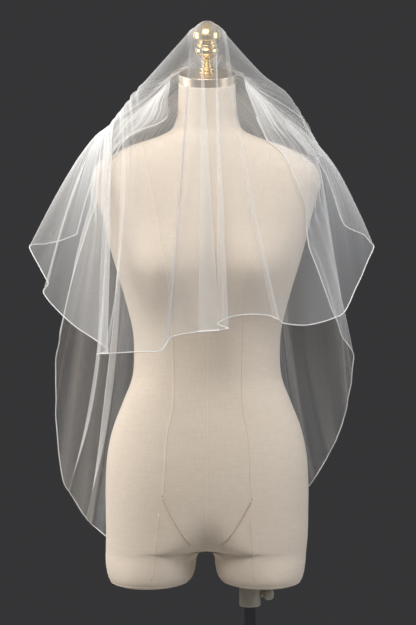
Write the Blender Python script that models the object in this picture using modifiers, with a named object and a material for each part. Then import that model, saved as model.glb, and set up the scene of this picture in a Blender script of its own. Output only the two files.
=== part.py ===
# Bridal veil on a dress form: a gathered comb veil of two tulle tiers, the shorter one thrown
# forward over the finial of a limbless linen dress form that stands on a pole and a round base.
#
# Run with: blender --background --python part.py
# Metres, +Z up, the form faces -Y, the origin is the middle of the base's underside.

import math

import bmesh
import bpy
import numpy as np
from mathutils import Matrix, Vector
from mathutils.bvhtree import BVHTree

MM = 0.001
GAP = 0.3 * MM               # what touching pieces keep between them

# Driving dimensions of the stand, in metres
BASE_RADIUS = 0.170
BASE_THICK = 0.008
BASE_SLOPE = 0.004           # width of the slope round the base's top edge
BASE_SLOPE_TALL = 0.0025
FLANGE_TALL = 0.022          # the sleeve that holds the pole on the base
FLANGE_NECK = (0.014, 0.017) # its radius at the top and where it meets the rim
FLANGE_RIM = (0.030, 0.031)  # and the rim's, above and on the base
FLANGE_STEPS = (0.005, 0.008)
POLE_X = 0.070               # the form stands on one thigh, so its pole is off centre
POLE_RADIUS = 0.0093
COLLAR_RADIUS = 0.0173
COLLAR_TALL = 0.037
COLLAR_EDGE = 0.002
BORE_RADIUS = 0.0100         # the pole's running hole in the collar and the thigh
BORE_TOP = 1.020             # how far up the form its pole can run
BORE_MOUTH = 0.020           # how far the hole's cutter sticks out below
POLE_INSIDE = 0.060          # how far up inside the form the pole ends
FORM_BOTTOM = 0.709
NECK_TOP = 1.521
NECK_LEAN = math.radians(15)  # the neck leans forward, and cap and finial with it
CAP_RADIUS = 0.0455
CAP_TALL = 0.019
CAP_EDGE = 1.2 * MM

# Driving dimensions of the veil
WALL = 1.0 * MM              # the cloth's wall in these solids
CLEAR = 5.0 * MM             # how far the cloth stays off the form
CLEAR_FINIAL = 5.5 * MM      # and off the finial
CORD_RADIUS = 1.2 * MM       # corded edge of both tiers
CORD_FIRST = 4               # the row of the cloth below the comb where it starts
CORD_SEAT = 2.5 * GAP        # between the cloth's edge and the cord
COMB_RADIUS = 0.0493         # the comb curves round the back of the neck
COMB_HALF_ANGLE = math.radians(56)
COMB_THICK = 1.4 * MM
COMB_BACK = 8.0 * MM         # height of the bar along its top
COMB_TEETH = 19
COMB_TALL = 0.034
TOOTH_HALF = (0.8 * MM, 0.4 * MM)  # half a tooth's width at its root and tip
BAND_THICK = 3.2 * MM
BAND_TALL = 0.010
BAND_Z = 1.519
BAND_SEAT = 1.4 * GAP        # between the comb's outer face and the band
COMB_INSET = 0.1 * MM        # keeps the teeth's faces inside the bar's
FRONT_SEAM_IN = 1.6 * MM     # where the front tier is sewn on, in from the band's face
FRONT_SEAM_UP = 0.6 * MM     # and above its top
FRONT_STANDS = (8 * MM, 30 * MM)   # how high its gathers stand, at the ends and the middle
STAND_RISE = 1.6             # how fast they grow from the ends
STAND_OUT = 3 * MM           # how far out from the seam they stand
SHARE_EVEN = 0.25            # how much of an even spread the folds' places on the comb get
BACK_SEAM_OUT = 0.5 * MM
BACK_SEAM_UP = 6.0 * MM

FORM_SEGMENTS = 28

# The form's rings in mm: height, half width, depth to the front and to the back,
# squareness of the outline, and how far the ring leans forward in degrees.
TORSO_RINGS = [
    (1521, 46, 45, 47, 2.0, 15),
    (1488, 47, 45, 49, 2.0, 10),
    (1458, 51, 47, 52, 2.0, 5),
    (1443, 61, 50, 58, 2.0, 2),
    (1434, 80, 55, 65, 2.0, 0),
    (1420, 122, 64, 74, 2.1, 0),
    (1403, 155, 72, 81, 2.2, 0),
    (1386, 176, 79, 86, 2.3, 0),
    (1366, 183, 86, 90, 2.3, 0),
    (1335, 177, 95, 94, 2.3, 0),
    (1298, 167, 103, 97, 2.3, 0),
    (1260, 158, 107, 97, 2.3, 0),
    (1228, 149, 104, 95, 2.3, 0),
    (1196, 139, 97, 91, 2.2, 0),
    (1160, 129, 91, 86, 2.2, 0),
    (1120, 120, 86, 82, 2.2, 0),
    (1082, 118, 84, 82, 2.2, 0),
    (1045, 121, 86, 88, 2.2, 0),
    (1005, 136, 90, 97, 2.3, 0),
    (960, 153, 95, 109, 2.3, 0),
    (915, 162, 98, 118, 2.3, 0),
    (872, 164.5, 98, 121, 2.3, 0),
    (830, 164.5, 96, 117, 2.3, 0),
    (800, 163.5, 93, 112, 2.3, 0),
    (778, 160, 89, 106, 2.3, 0),
    (765, 153, 82, 99, 2.3, 0),
]
# One thigh's rings in mm: height, inner and outer side, depth to the front and to the back.
THIGH_SQUARE = 2.3
THIGH_RINGS = [
    (812, 14, 154, 78, 97),
    (790, 11, 161, 80, 101),
    (762, 14, 163, 82, 101),
    (738, 19, 161, 82, 98),
    (722, 23, 159, 81, 95),
    (712.5, 31, 153, 76, 89),
    (709, 43, 142, 66, 76),
]
BUST_X, BUST_Z, BUST_FORWARD = 0.074, 1.256, 0.028
BUST_WIDE, BUST_HIGH = 0.052, 0.046

# Finial profile in mm along its axis, from the cap up: height and radius.
FINIAL_PROFILE = [
    (0, 13), (2.5, 13), (4, 10), (7, 12.5), (9.5, 11), (11.5, 8.5),
    (13.5, 9.5), (16, 7.5), (18, 8.5), (20.5, 7), (23.5, 9), (27, 14),
    (31, 18), (36, 19.8), (40.5, 18.5), (42.5, 16.5), (45, 17.7), (47.5, 14.5),
    (51, 14.5), (53, 21), (56, 23.3), (60, 23.3), (65, 21.7), (70.5, 17.5),
    (75, 11.5), (78.3, 6), (79.8, 0),
]
# Thumb screw profile in mm along its axis, from the collar outwards: distance and radius.
KNOB_PROFILE = [
    (0, 0), (0, 4.5), (5, 4.5), (5.5, 6.8), (8.5, 8.8), (15, 9), (19, 7.5), (21, 4.5), (21.5, 0),
]

# The line over which the front tier is thrown, in mm, from behind the left shoulder over the
# finial's dome to behind the right shoulder. "station" is the place that a fold hangs from,
# "share" is where on the comb that fold starts, left end 0 and right end 1, and "lift" is how
# much it arches on its way there.
OVER_COLUMNS = ("station", "x", "y", "z", "share", "lift")
THROW_LINE = [
    (0, -150, 66, 1436, 0.00, 0),        # behind the left shoulder
    (1, -160, 38, 1444, 0.04, 2),
    (2, -166, 8, 1447, 0.08, 3),         # left shoulder
    (3, -158, -14, 1449, 0.13, 4),
    (4, -137, -30, 1476, 0.20, 6),       # low end of the left tent edge
    (5, -92, -22, 1532, 0.30, 12),
    (6, -46, -22, 1584, 0.40, 9),
    (7, -21, -24, 1610, 0.46, 5),        # left side of the dome
    (8, 0, -24, 1620, 0.50, 4),          # top of the dome
    (9, 20, -24, 1611, 0.54, 5),         # right side of the dome
    (10, 69, -22, 1548, 0.62, 10),
    (11, 122, -20, 1511, 0.72, 12),
    (12, 150, -26, 1468, 0.80, 6),       # low end of the right tent edge
    (13, 172, -12, 1430, 0.86, 4),
    (14, 184, 18, 1412, 0.92, 3),        # right shoulder
    (15, 178, 46, 1412, 0.96, 2),
    (16, 168, 72, 1414, 1.00, 0),        # behind the right shoulder
]
# The front tier's hem in mm, a row for each fold or turn from the left rear edge round the
# front to the right rear edge, with the station of the line that it hangs from. Under 1,
# "flare" and "fill" have a fold do its travel sideways and forward early in its fall.
HEM_COLUMNS = ("x", "y", "z", "station", "flare", "fill")
FRONT_HEM = [
    (-218, 112, 1277, 0.0, 0.6, 0.8),
    (-244, 84, 1267, 0.7, 0.65, 0.8),
    (-268, 50, 1261, 1.3, 0.7, 0.8),
    (-288, 14, 1258, 2.0, 0.75, 0.8),    # left corner
    (-271, -16, 1227, 2.2, 0.7, 0.8),
    (-254, -40, 1199, 2.35, 0.7, 0.75),
    (-261, -58, 1186, 2.5, 0.7, 0.7),    # small fold behind the corner
    (-238, -72, 1158, 2.7, 0.65, 0.65),
    (-205, -88, 1130, 2.9, 0.6, 0.6),
    (-173, -104, 1106, 3.15, 0.6, 0.6),
    (-157, -112, 1091, 3.4, 0.7, 0.55), # left knife fold, rear edge
    (-163, -126, 1090, 3.62, 0.6, 0.5),
    (-172, -138, 1092, 3.84, 0.5, 0.45), # left knife fold, front edge
    (-150, -146, 1094, 4.15, 0.8, 0.45),
    (-114, -152, 1095, 4.7, 1.0, 0.45),
    (-85, -158, 1098, 5.4, 1.0, 0.45),
    (-70, -153, 1104, 6.1, 1.0, 0.46),
    (-62, -142, 1112, 6.8, 1.0, 0.46),   # pipe left of the middle
    (-51, -142, 1120, 7.15, 1.0, 0.46),
    (-29, -149, 1125, 7.45, 1.0, 0.46),
    (0, -152, 1129, 7.7, 1.0, 0.46),
    (26, -166, 1131, 7.88, 1.0, 0.46),
    (32, -161, 1132, 7.96, 1.0, 0.46),   # middle knife fold, front edge
    (22, -153, 1135, 8.04, 1.0, 0.46),
    (11, -144, 1140, 8.12, 1.0, 0.46),   # middle knife fold, rear edge
    (37, -140, 1151, 8.35, 1.0, 0.46),
    (70, -142, 1153, 8.6, 1.0, 0.46),
    (98, -143, 1151, 8.9, 1.0, 0.46),
    (108, -149, 1144, 9.1, 1.0, 0.46),   # pipe right of the middle
    (125, -152, 1136, 9.6, 1.0, 0.5),
    (150, -144, 1136, 10.4, 0.95, 0.5),
    (178, -124, 1140, 11.2, 0.85, 0.55),
    (203, -98, 1147, 12.0, 0.75, 0.6),
    (218, -74, 1155, 12.5, 0.75, 0.65),
    (236, -52, 1188, 12.9, 0.75, 0.7),
    (252, -28, 1221, 13.3, 0.75, 0.75),
    (269, 2, 1254, 13.8, 0.75, 0.8),     # right corner
    (268, 32, 1264, 14.3, 0.7, 0.8),
    (256, 62, 1277, 14.9, 0.65, 0.8),
    (231, 92, 1291, 15.5, 0.6, 0.8),
    (222, 108, 1311, 16.0, 0.6, 0.8),
]

# Where the back tier lies on the shoulders and the upper back.
REST_LINE = [
    (0, -112, -26, 1440, 0.00, 10),      # front of the left shoulder
    (1, -142, -10, 1430, 0.06, 4),
    (2, -168, 16, 1418, 0.13, -4),       # left shoulder
    (3, -156, 52, 1416, 0.21, -4),
    (4, -114, 84, 1418, 0.30, 0),
    (5, -56, 102, 1418, 0.40, 4),
    (6, 0, 107, 1418, 0.50, 4),          # between the shoulder blades
    (7, 56, 102, 1418, 0.60, 4),
    (8, 114, 84, 1418, 0.70, 0),
    (9, 156, 52, 1412, 0.79, -4),
    (10, 178, 16, 1404, 0.87, -4),       # right shoulder
    (11, 160, -12, 1414, 0.94, 4),
    (12, 130, -30, 1426, 1.00, 10),      # front of the right shoulder
]
# The back tier's hem in mm, a row for each crest and valley of its pipes, from the left front
# edge round the back to the right front edge.
BACK_HEM = [
    (-235, -24, 1119, 0.0, 0.45, 1.0),
    (-243, 0, 1089, 0.5, 0.45, 1.0),
    (-247, 18, 1030, 0.9, 0.5, 1.0),
    (-247, 32, 975, 1.2, 0.6, 1.0),
    (-245, 40, 930, 1.5, 0.75, 1.0),
    (-241, 46, 893, 1.8, 0.95, 1.0),
    (-236, 52, 866, 2.1, 1.3, 1.0),      # first fold at the left, front edge
    (-231, 94, 850, 2.45, 1.6, 1.0),     # its rear edge
    (-222, 86, 822, 2.75, 1.7, 1.0),
    (-211, 88, 800, 3.0, 1.7, 1.0),
    (-204, 96, 790, 3.25, 1.8, 1.0),     # second fold at the left, front edge
    (-196, 140, 774, 3.55, 1.8, 1.0), # its rear edge
    (-176, 128, 766, 3.8, 1.6, 1.1),
    (-150, 124, 757, 4.05, 1.4, 1.2),
    (-124, 162, 750, 4.35, 1.3, 1.3),
    (-94, 136, 746, 4.7, 1.2, 1.4),
    (-64, 174, 746, 5.1, 1.1, 1.5),
    (-32, 144, 750, 5.5, 1.0, 1.5),
    (-2, 182, 755, 5.95, 1.0, 1.5),
    (30, 148, 763, 6.4, 1.0, 1.5),
    (60, 178, 774, 6.8, 1.0, 1.5),
    (90, 140, 788, 7.2, 1.1, 1.4),
    (120, 166, 805, 7.6, 1.2, 1.3),
    (146, 124, 824, 8.0, 1.2, 1.2),
    (168, 134, 846, 8.4, 1.1, 1.1),
    (182, 98, 872, 8.8, 1.0, 1.0),
    (202, 96, 906, 9.2, 0.9, 1.0),
    (213, 64, 936, 9.6, 0.8, 1.0),
    (226, 58, 972, 10.0, 0.7, 1.0),
    (232, 34, 1012, 10.4, 0.65, 1.0),
    (237, 16, 1048, 10.8, 0.6, 1.0),
    (236, 2, 1080, 11.2, 0.6, 1.0),
    (218, -18, 1116, 11.5, 0.7, 0.8),
    (204, -32, 1146, 11.8, 0.8, 0.7),
    (193, -40, 1173, 12.0, 0.9, 0.6),
]
# How far down from seam to hem each row of the cloth lies, closer over finial and shoulders.
FRONT_DOWN = [
    0, 0.02, 0.05, 0.095, 0.14, 0.18, 0.21, 0.235, 0.265, 0.31, 0.38, 0.46, 0.54, 0.62, 0.71,
    0.80, 0.90, 1,
]
BACK_DOWN = [
    0, 0.03, 0.08, 0.13, 0.165, 0.195, 0.225, 0.255, 0.29, 0.34, 0.42, 0.50, 0.59, 0.68, 0.77,
    0.86, 0.94, 1,
]
FALL_STEPS = (0.05, 0.18, 0.36, 0.56, 0.78)


def column(rows, names, name):
    return np.array([row[names.index(name)] for row in rows], float)


def points_of(rows, names):
    """The x, y and z columns of a table, as points in metres."""
    return np.stack([column(rows, names, axis) for axis in "xyz"], 1) * MM


def smooth_through(stations, keys, at):
    """Cubic curve through keys at uneven stations, sampled at other stations."""
    stations, at = np.asarray(stations, float), np.asarray(at, float)
    step = np.diff(stations)
    extra = (1,) * (keys.ndim - 1)
    rise = np.diff(keys, axis=0) / step.reshape(-1, *extra)
    before, after = step[:-1].reshape(-1, *extra), step[1:].reshape(-1, *extra)
    inner = (rise[:-1] * after + rise[1:] * before) / (before + after)
    slope = np.concatenate([rise[:1], inner, rise[-1:]])
    i = np.clip(np.searchsorted(stations, at, side="right") - 1, 0, len(step) - 1)
    wide = step[i].reshape(-1, *extra)
    t = ((at - stations[i]) / step[i]).reshape(-1, *extra)
    ease = t * t * (3 - 2 * t)
    lead = t * (1 - t) ** 2 * wide
    trail = t * t * (t - 1) * wide
    return keys[i] * (1 - ease) + keys[i + 1] * ease + slope[i] * lead + slope[i + 1] * trail


def material(name, colour, roughness, metallic=0.0, alpha=1.0):
    made = bpy.data.materials.new(name)
    made.use_nodes = True
    shader = made.node_tree.nodes["Principled BSDF"]
    shader.inputs["Base Color"].default_value = (*colour, 1.0)
    shader.inputs["Roughness"].default_value = roughness
    shader.inputs["Metallic"].default_value = metallic
    shader.inputs["Alpha"].default_value = alpha
    return made


def mesh_object(name, points, faces, finish, edges=()):
    mesh = bpy.data.meshes.new(name)
    mesh.from_pydata([tuple(p) for p in points], list(edges), [tuple(f) for f in faces])
    mesh.validate()
    mesh.shade_smooth()
    made = bpy.data.objects.new(name, mesh)
    PIECES.objects.link(made)
    mesh.materials.append(finish)
    return made


def adopt(finish):
    """The object that a bpy.ops call has just made, moved to the pieces' collection."""
    made = bpy.context.object
    for collection in list(made.users_collection):
        collection.objects.unlink(made)
    PIECES.objects.link(made)
    made.data.materials.append(finish)
    made.data.shade_smooth()
    return made


def turned(name, profile, finish, steps=24):
    """A solid of revolution about local Z: rows of height and radius in metres, top to bottom,
    and a Screw."""
    points = [(r, 0, z) for z, r in profile]
    edges = [(i, i + 1) for i in range(len(profile) - 1)]
    made = mesh_object(name, points, [], finish, edges)
    screw = made.modifiers.new("Turn", "SCREW")
    screw.steps = screw.render_steps = steps
    screw.use_merge_vertices = True
    screw.merge_threshold = 1e-5
    return made


def evaluated_mesh(made):
    """The object's mesh with its modifiers, in world space."""
    bpy.context.view_layer.update()
    graph = bpy.context.evaluated_depsgraph_get()
    mesh = bpy.data.meshes.new_from_object(made.evaluated_get(graph))
    mesh.transform(made.matrix_world)
    return mesh


def tree_of(mesh):
    return BVHTree.FromPolygons(
        [v.co for v in mesh.vertices], [p.vertices for p in mesh.polygons]
    )


def loft_faces(rings, segments):
    """Quads between closed rings that run from top to bottom, and a cap on each end."""
    faces = []
    for ring in range(rings - 1):
        for k in range(segments):
            a, b = ring * segments + k, ring * segments + (k + 1) % segments
            faces.append((a, a + segments, b + segments, b))
    faces.append(tuple(range(segments)))
    last = (rings - 1) * segments
    faces.append(tuple(reversed(range(last, last + segments))))
    return faces


def ring_points(centre_x, half, front, back, square, z, lean=0.0):
    """One superellipse ring, counter-clockwise from +X, seen from above."""
    angle = np.linspace(0, 2 * math.pi, FORM_SEGMENTS, endpoint=False)
    power = 2 / square
    c, s = np.cos(angle), np.sin(angle)
    x = centre_x + half * np.sign(c) * np.abs(c) ** power
    y = np.where(s < 0, front, back) * np.sign(s) * np.abs(s) ** power
    return np.stack([x, y, z + y * math.tan(lean)], 1)


def bust(points):
    """Moves the front of the rings forward over two soft, round cups."""
    front = points[:, 1] < 0
    side = (np.abs(points[:, 0]) - BUST_X) / BUST_WIDE
    up = (points[:, 2] - BUST_Z) / BUST_HIGH
    swell = BUST_FORWARD * np.exp(-(side**2) - up**2)
    points[front, 1] -= swell[front]
    return points


def union(target, other):
    cut = target.modifiers.new("Join", "BOOLEAN")
    cut.operation = "UNION"
    cut.object = other


def freeze(made):
    """Applies the modifiers, so that the object's own mesh is the finished one."""
    graph = bpy.context.evaluated_depsgraph_get()
    mesh = bpy.data.meshes.new_from_object(made.evaluated_get(graph))
    made.modifiers.clear()
    made.data = mesh


def make_form(linen):
    rings = []
    for row in TORSO_RINGS:
        z, half, front, back, square, lean = row
        rings.append(
            ring_points(0, half * MM, front * MM, back * MM, square, z * MM, math.radians(lean))
        )
    body = mesh_object(
        "dress_form", bust(np.concatenate(rings)), loft_faces(len(rings), FORM_SEGMENTS), linen
    )
    helpers = []
    for side in (-1, 1):
        rings = []
        for z, inner, outer, front, back in THIGH_RINGS:
            centre, half = side * (inner + outer) / 2 * MM, (outer - inner) / 2 * MM
            rings.append(ring_points(centre, half, front * MM, back * MM, THIGH_SQUARE, z * MM))
        thigh = mesh_object(
            f"thigh_helper_{side}", np.concatenate(rings), loft_faces(len(rings), FORM_SEGMENTS), linen
        )
        helpers.append(thigh)
        union(body, thigh)
    bore = cylinder("pole_bore_cutter", BORE_RADIUS, BORE_TOP - FORM_BOTTOM + BORE_MOUTH, linen)
    bore.location = (POLE_X, 0, (BORE_TOP + FORM_BOTTOM - BORE_MOUTH) / 2)
    cut = body.modifiers.new("Pole bore", "BOOLEAN")
    cut.operation = "DIFFERENCE"
    cut.object = bore
    helpers.append(bore)
    for helper in helpers:
        helper.hide_render = True
        helper.display_type = "WIRE"
        PIECES.objects.unlink(helper)
        CUTTERS.objects.link(helper)
    bpy.context.view_layer.update()
    freeze(body)
    return body


def cylinder(name, radius, tall, finish, sides=24):
    bpy.ops.mesh.primitive_cylinder_add(vertices=sides, radius=radius, depth=tall)
    made = adopt(finish)
    made.name = name
    return made


def neck_frame(along):
    """Placement of a piece on the leaning neck: a point up its axis, and the axis as +Z."""
    turn = Matrix.Rotation(NECK_LEAN, 4, "X")
    return Matrix.Translation((0, 0, NECK_TOP)) @ turn @ Matrix.Translation((0, 0, along))


def make_neck_hardware(nickel, brass):
    cap = cylinder("neck_cap", CAP_RADIUS, CAP_TALL, nickel, 36)
    cap.matrix_world = neck_frame(GAP + CAP_TALL / 2)
    edge = cap.modifiers.new("Edge", "BEVEL")
    edge.width, edge.segments, edge.limit_method = CAP_EDGE, 2, "ANGLE"
    profile = [(z * MM, r * MM) for z, r in reversed(FINIAL_PROFILE)] + [(0, 0)]
    finial = turned("finial", profile, brass, 18)
    finial.matrix_world = neck_frame(2 * GAP + CAP_TALL)
    return finial, cap


def make_stand(chrome, steel, collar_finish, knob_finish):
    plate = [
        (BASE_THICK, 0.0), (BASE_THICK, BASE_RADIUS - BASE_SLOPE),
        (BASE_THICK - BASE_SLOPE_TALL, BASE_RADIUS), (0.0, BASE_RADIUS), (0.0, 0.0),
    ]
    turned("base_plate", plate, steel, 48)
    seat = BASE_THICK + GAP
    low, middle = (seat + step for step in FLANGE_STEPS)
    flange = [
        (seat + FLANGE_TALL, BORE_RADIUS), (seat + FLANGE_TALL, FLANGE_NECK[0]),
        (middle, FLANGE_NECK[1]), (low, FLANGE_RIM[0]), (seat, FLANGE_RIM[1]),
        (seat, BORE_RADIUS), (seat + FLANGE_TALL, BORE_RADIUS),
    ]
    foot = turned("pole_flange", flange, steel, 24)
    foot.location.x = POLE_X
    high = FORM_BOTTOM + POLE_INSIDE
    pole = cylinder("pole", POLE_RADIUS, high - seat, chrome, 20)
    pole.location = (POLE_X, 0, (seat + high) / 2)
    top = FORM_BOTTOM - GAP
    ring = [
        (top, BORE_RADIUS), (top, COLLAR_RADIUS),
        (top - COLLAR_TALL + COLLAR_EDGE, COLLAR_RADIUS),
        (top - COLLAR_TALL, COLLAR_RADIUS - COLLAR_EDGE), (top - COLLAR_TALL, BORE_RADIUS),
        (top, BORE_RADIUS),
    ]
    collar = turned("pole_collar", ring, collar_finish, 28)
    collar.location.x = POLE_X
    make_clamp_screw(top - COLLAR_TALL / 2, knob_finish)


def make_clamp_screw(height, finish):
    """A thumb screw beside the collar: a short neck and a round knob."""
    profile = [(z * MM, r * MM) for z, r in reversed(KNOB_PROFILE)]
    knob = turned("clamp_screw", profile, finish, 16)
    knob.location = (POLE_X + COLLAR_RADIUS + GAP, 0, height)
    knob.rotation_euler.y = math.pi / 2


def arc_bar(name, inner, outer, low, high, half_angle, finish, steps=18):
    """A bar bent round the back of the neck: a rectangle swept along an arc."""
    angle = np.linspace(-half_angle, half_angle, steps)
    corners = [(inner, low), (outer, low), (outer, high), (inner, high)]
    points = [(r * math.sin(a), r * math.cos(a), z) for a in angle for r, z in corners]
    faces = [(3, 2, 1, 0)]
    for k in range(steps - 1):
        for c in range(4):
            a, b = k * 4 + c, k * 4 + (c + 1) % 4
            faces.append((a, b, b + 4, a + 4))
    last = (steps - 1) * 4
    faces.append((last, last + 1, last + 2, last + 3))
    made = mesh_object(name, points, faces, finish)
    recalculate(made.data)
    return made


def recalculate(mesh):
    work = bmesh.new()
    work.from_mesh(mesh)
    bmesh.ops.recalc_face_normals(work, faces=work.faces)
    work.to_mesh(mesh)
    work.free()


def make_comb(plastic, ribbon):
    """A curved comb behind the neck, and the ribbon band that holds the gathers on it."""
    inset = COMB_INSET
    root, tip = TOOTH_HALF
    rooted = COMB_BACK / 2       # how far a tooth runs up into the bar
    comb = arc_bar(
        "comb", COMB_RADIUS, COMB_RADIUS + COMB_THICK, BAND_Z, BAND_Z + COMB_BACK,
        COMB_HALF_ANGLE, plastic,
    )
    end = COMB_HALF_ANGLE - 1.2 * root / COMB_RADIUS
    work = bmesh.new()
    work.from_mesh(comb.data)
    for middle in np.linspace(-end, end, COMB_TEETH):
        tooth = bmesh.ops.create_cube(work, size=1.0)["verts"]
        for v in tooth:
            wide = root if v.co.z > 0 else tip
            r = COMB_RADIUS + COMB_THICK / 2 + v.co.y * (COMB_THICK - 2 * inset)
            z = BAND_Z + rooted + (v.co.z - 0.5) * (COMB_TALL - rooted)
            a = middle + v.co.x * 2 * wide / COMB_RADIUS
            v.co = (r * math.sin(a), r * math.cos(a), z)
    bmesh.ops.recalc_face_normals(work, faces=work.faces)
    work.to_mesh(comb.data)
    work.free()
    join = comb.modifiers.new("Join teeth", "BOOLEAN")
    join.operation = "UNION"
    join.use_self = True
    filler = arc_bar(
        "comb_back_helper", COMB_RADIUS + inset, COMB_RADIUS + COMB_THICK - inset,
        BAND_Z + 10 * inset, BAND_Z + COMB_BACK - 10 * inset, COMB_HALF_ANGLE * 0.98, plastic,
    )
    filler.hide_render = True
    PIECES.objects.unlink(filler)
    CUTTERS.objects.link(filler)
    join.object = filler
    bpy.context.view_layer.update()
    freeze(comb)
    inner = COMB_RADIUS + COMB_THICK + BAND_SEAT
    arc_bar(
        "gather_band", inner, inner + BAND_THICK, BAND_Z, BAND_Z + BAND_TALL,
        COMB_HALF_ANGLE + 0.02, ribbon, 20,
    )
    return inner + BAND_THICK


def seam_points(share, radius, z):
    """Points along the gathered seam, share 0 at the left end of the comb and 1 at the right."""
    angle = (share * 2 - 1) * COMB_HALF_ANGLE
    return np.stack([radius * np.sin(angle), radius * np.cos(angle), np.full_like(angle, z)], 1)


def outward(points):
    """Level unit directions away from the neck's axis."""
    level = points * (1, 1, 0)
    return level / np.linalg.norm(level, axis=1, keepdims=True)


def fall_lines(seam, over, hem, flare, fill, stand, lift):
    """The points down each fold: seam, stand, rise, turn, five on the fall, and hem.

    A point at a share of the drop has gone that share to the power "flare" of the way
    sideways, and to the power "fill" of the way forward or back."""
    stood = seam + outward(seam) * STAND_OUT + (0, 0, 1) * stand[:, None]
    rise = (stood + over) / 2 + (0, 0, 1) * lift[:, None]
    lines = [seam, stood, rise, over]
    for drop in FALL_STEPS:
        ahead = np.stack([drop**flare, drop**fill, np.full(len(hem), drop)], 1)
        lines.append(over + (hem - over) * ahead)
    lines.append(hem)
    return np.stack(lines)


def push_out(spot, tree, distance):
    """The move that brings a point out of a body, to the distance from its surface."""
    near, normal, _, far = tree.find_nearest(spot)
    inside = (spot - near).dot(normal) < -0.9 * far
    if far >= distance and not inside:
        return (0, 0, 0)
    out = normal if inside or far < 1e-5 else (spot - near).normalized()
    return near + out * distance - spot


def clear_of(grid, tree, distance):
    """Moves the cloth out of a body: its points, and then its edges and faces by their middles.

    The seam stays where it is."""
    for down, across in ((0, 0), (1, 0), (0, 1), (1, 1)) * 3:
        first = grid[: len(grid) - down, : grid.shape[1] - across]
        second = grid[down:, across:]
        middle = (first + second).reshape(-1, 3) / 2
        keep = distance if down + across == 0 else distance * 0.5
        move = np.array([push_out(Vector(p), tree, keep) for p in middle]).reshape(first.shape)
        move[0] = 0
        first += move
        if down + across:
            second += move


def cloth_grid(hem_rows, over_rows, seam_radius, seam_z, stands, down, per_fold):
    """The tier's middle surface as a grid of points [down, across].

    The gathers stand up from the comb before they turn, most in the middle, so that each lies
    above its neighbour where they cross the comb's ends."""
    hem = points_of(hem_rows, HEM_COLUMNS)
    stations, flare, fill = (
        column(hem_rows, HEM_COLUMNS, name) for name in ("station", "flare", "fill")
    )
    marks = column(over_rows, OVER_COLUMNS, "station")
    over = smooth_through(marks, points_of(over_rows, OVER_COLUMNS), stations)
    share, lift = (
        np.interp(stations, marks, column(over_rows, OVER_COLUMNS, name))
        for name in ("share", "lift")
    )
    rank = np.linspace(0, 1, len(share))
    share = share + rank * SHARE_EVEN
    stand = stands[0] + (stands[1] - stands[0]) * (1 - np.abs(rank * 2 - 1) ** STAND_RISE)
    seam = seam_points(share / share[-1], seam_radius, seam_z)
    keys = fall_lines(seam, over, hem, flare, fill, stand, lift * MM)
    length = np.linalg.norm(np.diff(keys, axis=0), axis=2).mean(1)
    along = np.concatenate([[0], np.cumsum(length)])
    lines = smooth_through(along, keys, along[-1] * down)
    steps = np.arange(0, len(hem_rows) - 1 + 1e-9, 1 / per_fold)
    folds = np.arange(len(hem_rows))
    return smooth_through(folds, lines.transpose(1, 0, 2), steps).transpose(1, 0, 2)


def cloth(name, grid, finish):
    """An open sheet of quads with a Solidify for its wall."""
    down, across = grid.shape[:2]
    index = np.arange(down * across).reshape(down, across)
    faces = np.stack(
        [index[:-1, :-1], index[1:, :-1], index[1:, 1:], index[:-1, 1:]], -1
    ).reshape(-1, 4)
    made = mesh_object(name, grid.reshape(-1, 3), faces.tolist(), finish)
    wall = made.modifiers.new("Wall", "SOLIDIFY")
    wall.thickness, wall.offset = WALL, 0.0
    wall.use_rim = True
    return made


def corded_edge(name, grid, first, finish):
    """A round cord down one side of a tier, along its hem and up the other side, just past
    the cloth's edge and in the cloth's own surface."""
    border = np.concatenate([grid[first:, 0], grid[-1, 1:], grid[first:-1, -1][::-1]])
    inner = np.concatenate([grid[first:, 1], grid[-2, 1:], grid[first:-1, -2][::-1]])
    inner[len(grid) - first - 1] = grid[-2, 1]
    inner[len(grid) - first - 2 + grid.shape[1]] = grid[-2, -2]
    tangent = np.gradient(border, axis=0)
    tangent /= np.linalg.norm(tangent, axis=1, keepdims=True)
    away = border - inner
    away -= (away * tangent).sum(1, keepdims=True) * tangent
    away /= np.linalg.norm(away, axis=1, keepdims=True)
    path = border + away * (CORD_RADIUS + CORD_SEAT)
    curve = bpy.data.curves.new(name, "CURVE")
    curve.dimensions = "3D"
    spline = curve.splines.new("POLY")
    spline.points.add(len(path) - 1)
    for point, place in zip(spline.points, path):
        point.co = (*place, 1)
    curve.bevel_depth = CORD_RADIUS
    curve.bevel_resolution = 0
    curve.use_fill_caps = True
    made = bpy.data.objects.new(name, curve)
    PIECES.objects.link(made)
    curve.materials.append(finish)
    return made


for leftover in list(bpy.data.objects):
    bpy.data.objects.remove(leftover)
PIECES = bpy.data.collections.new("bridal veil on a dress form")
CUTTERS = bpy.data.collections.new("cutters")
bpy.context.scene.collection.children.link(PIECES)
bpy.context.scene.collection.children.link(CUTTERS)

linen = material("linen", (0.66, 0.56, 0.46), 0.85)
nickel = material("nickel", (0.62, 0.58, 0.52), 0.25, 1.0)
brass = material("brass", (0.78, 0.60, 0.30), 0.2, 1.0)
chrome = material("chrome", (0.75, 0.75, 0.76), 0.12, 1.0)
steel = material("brushed steel", (0.55, 0.55, 0.56), 0.35, 1.0)
grey_metal = material("grey metal", (0.62, 0.62, 0.58), 0.4, 1.0)
tulle = material("tulle", (0.95, 0.94, 0.92), 0.7, 0.0, 0.4)
thread = material("edge cord", (0.96, 0.95, 0.93), 0.6)
plastic = material("clear comb", (0.85, 0.85, 0.83), 0.3)

form = make_form(linen)
finial, cap = make_neck_hardware(nickel, brass)
make_stand(chrome, steel, grey_metal, grey_metal)
band_outer = make_comb(plastic, thread)

form_tree, finial_tree, cap_tree = (tree_of(evaluated_mesh(m)) for m in (form, finial, cap))

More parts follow.
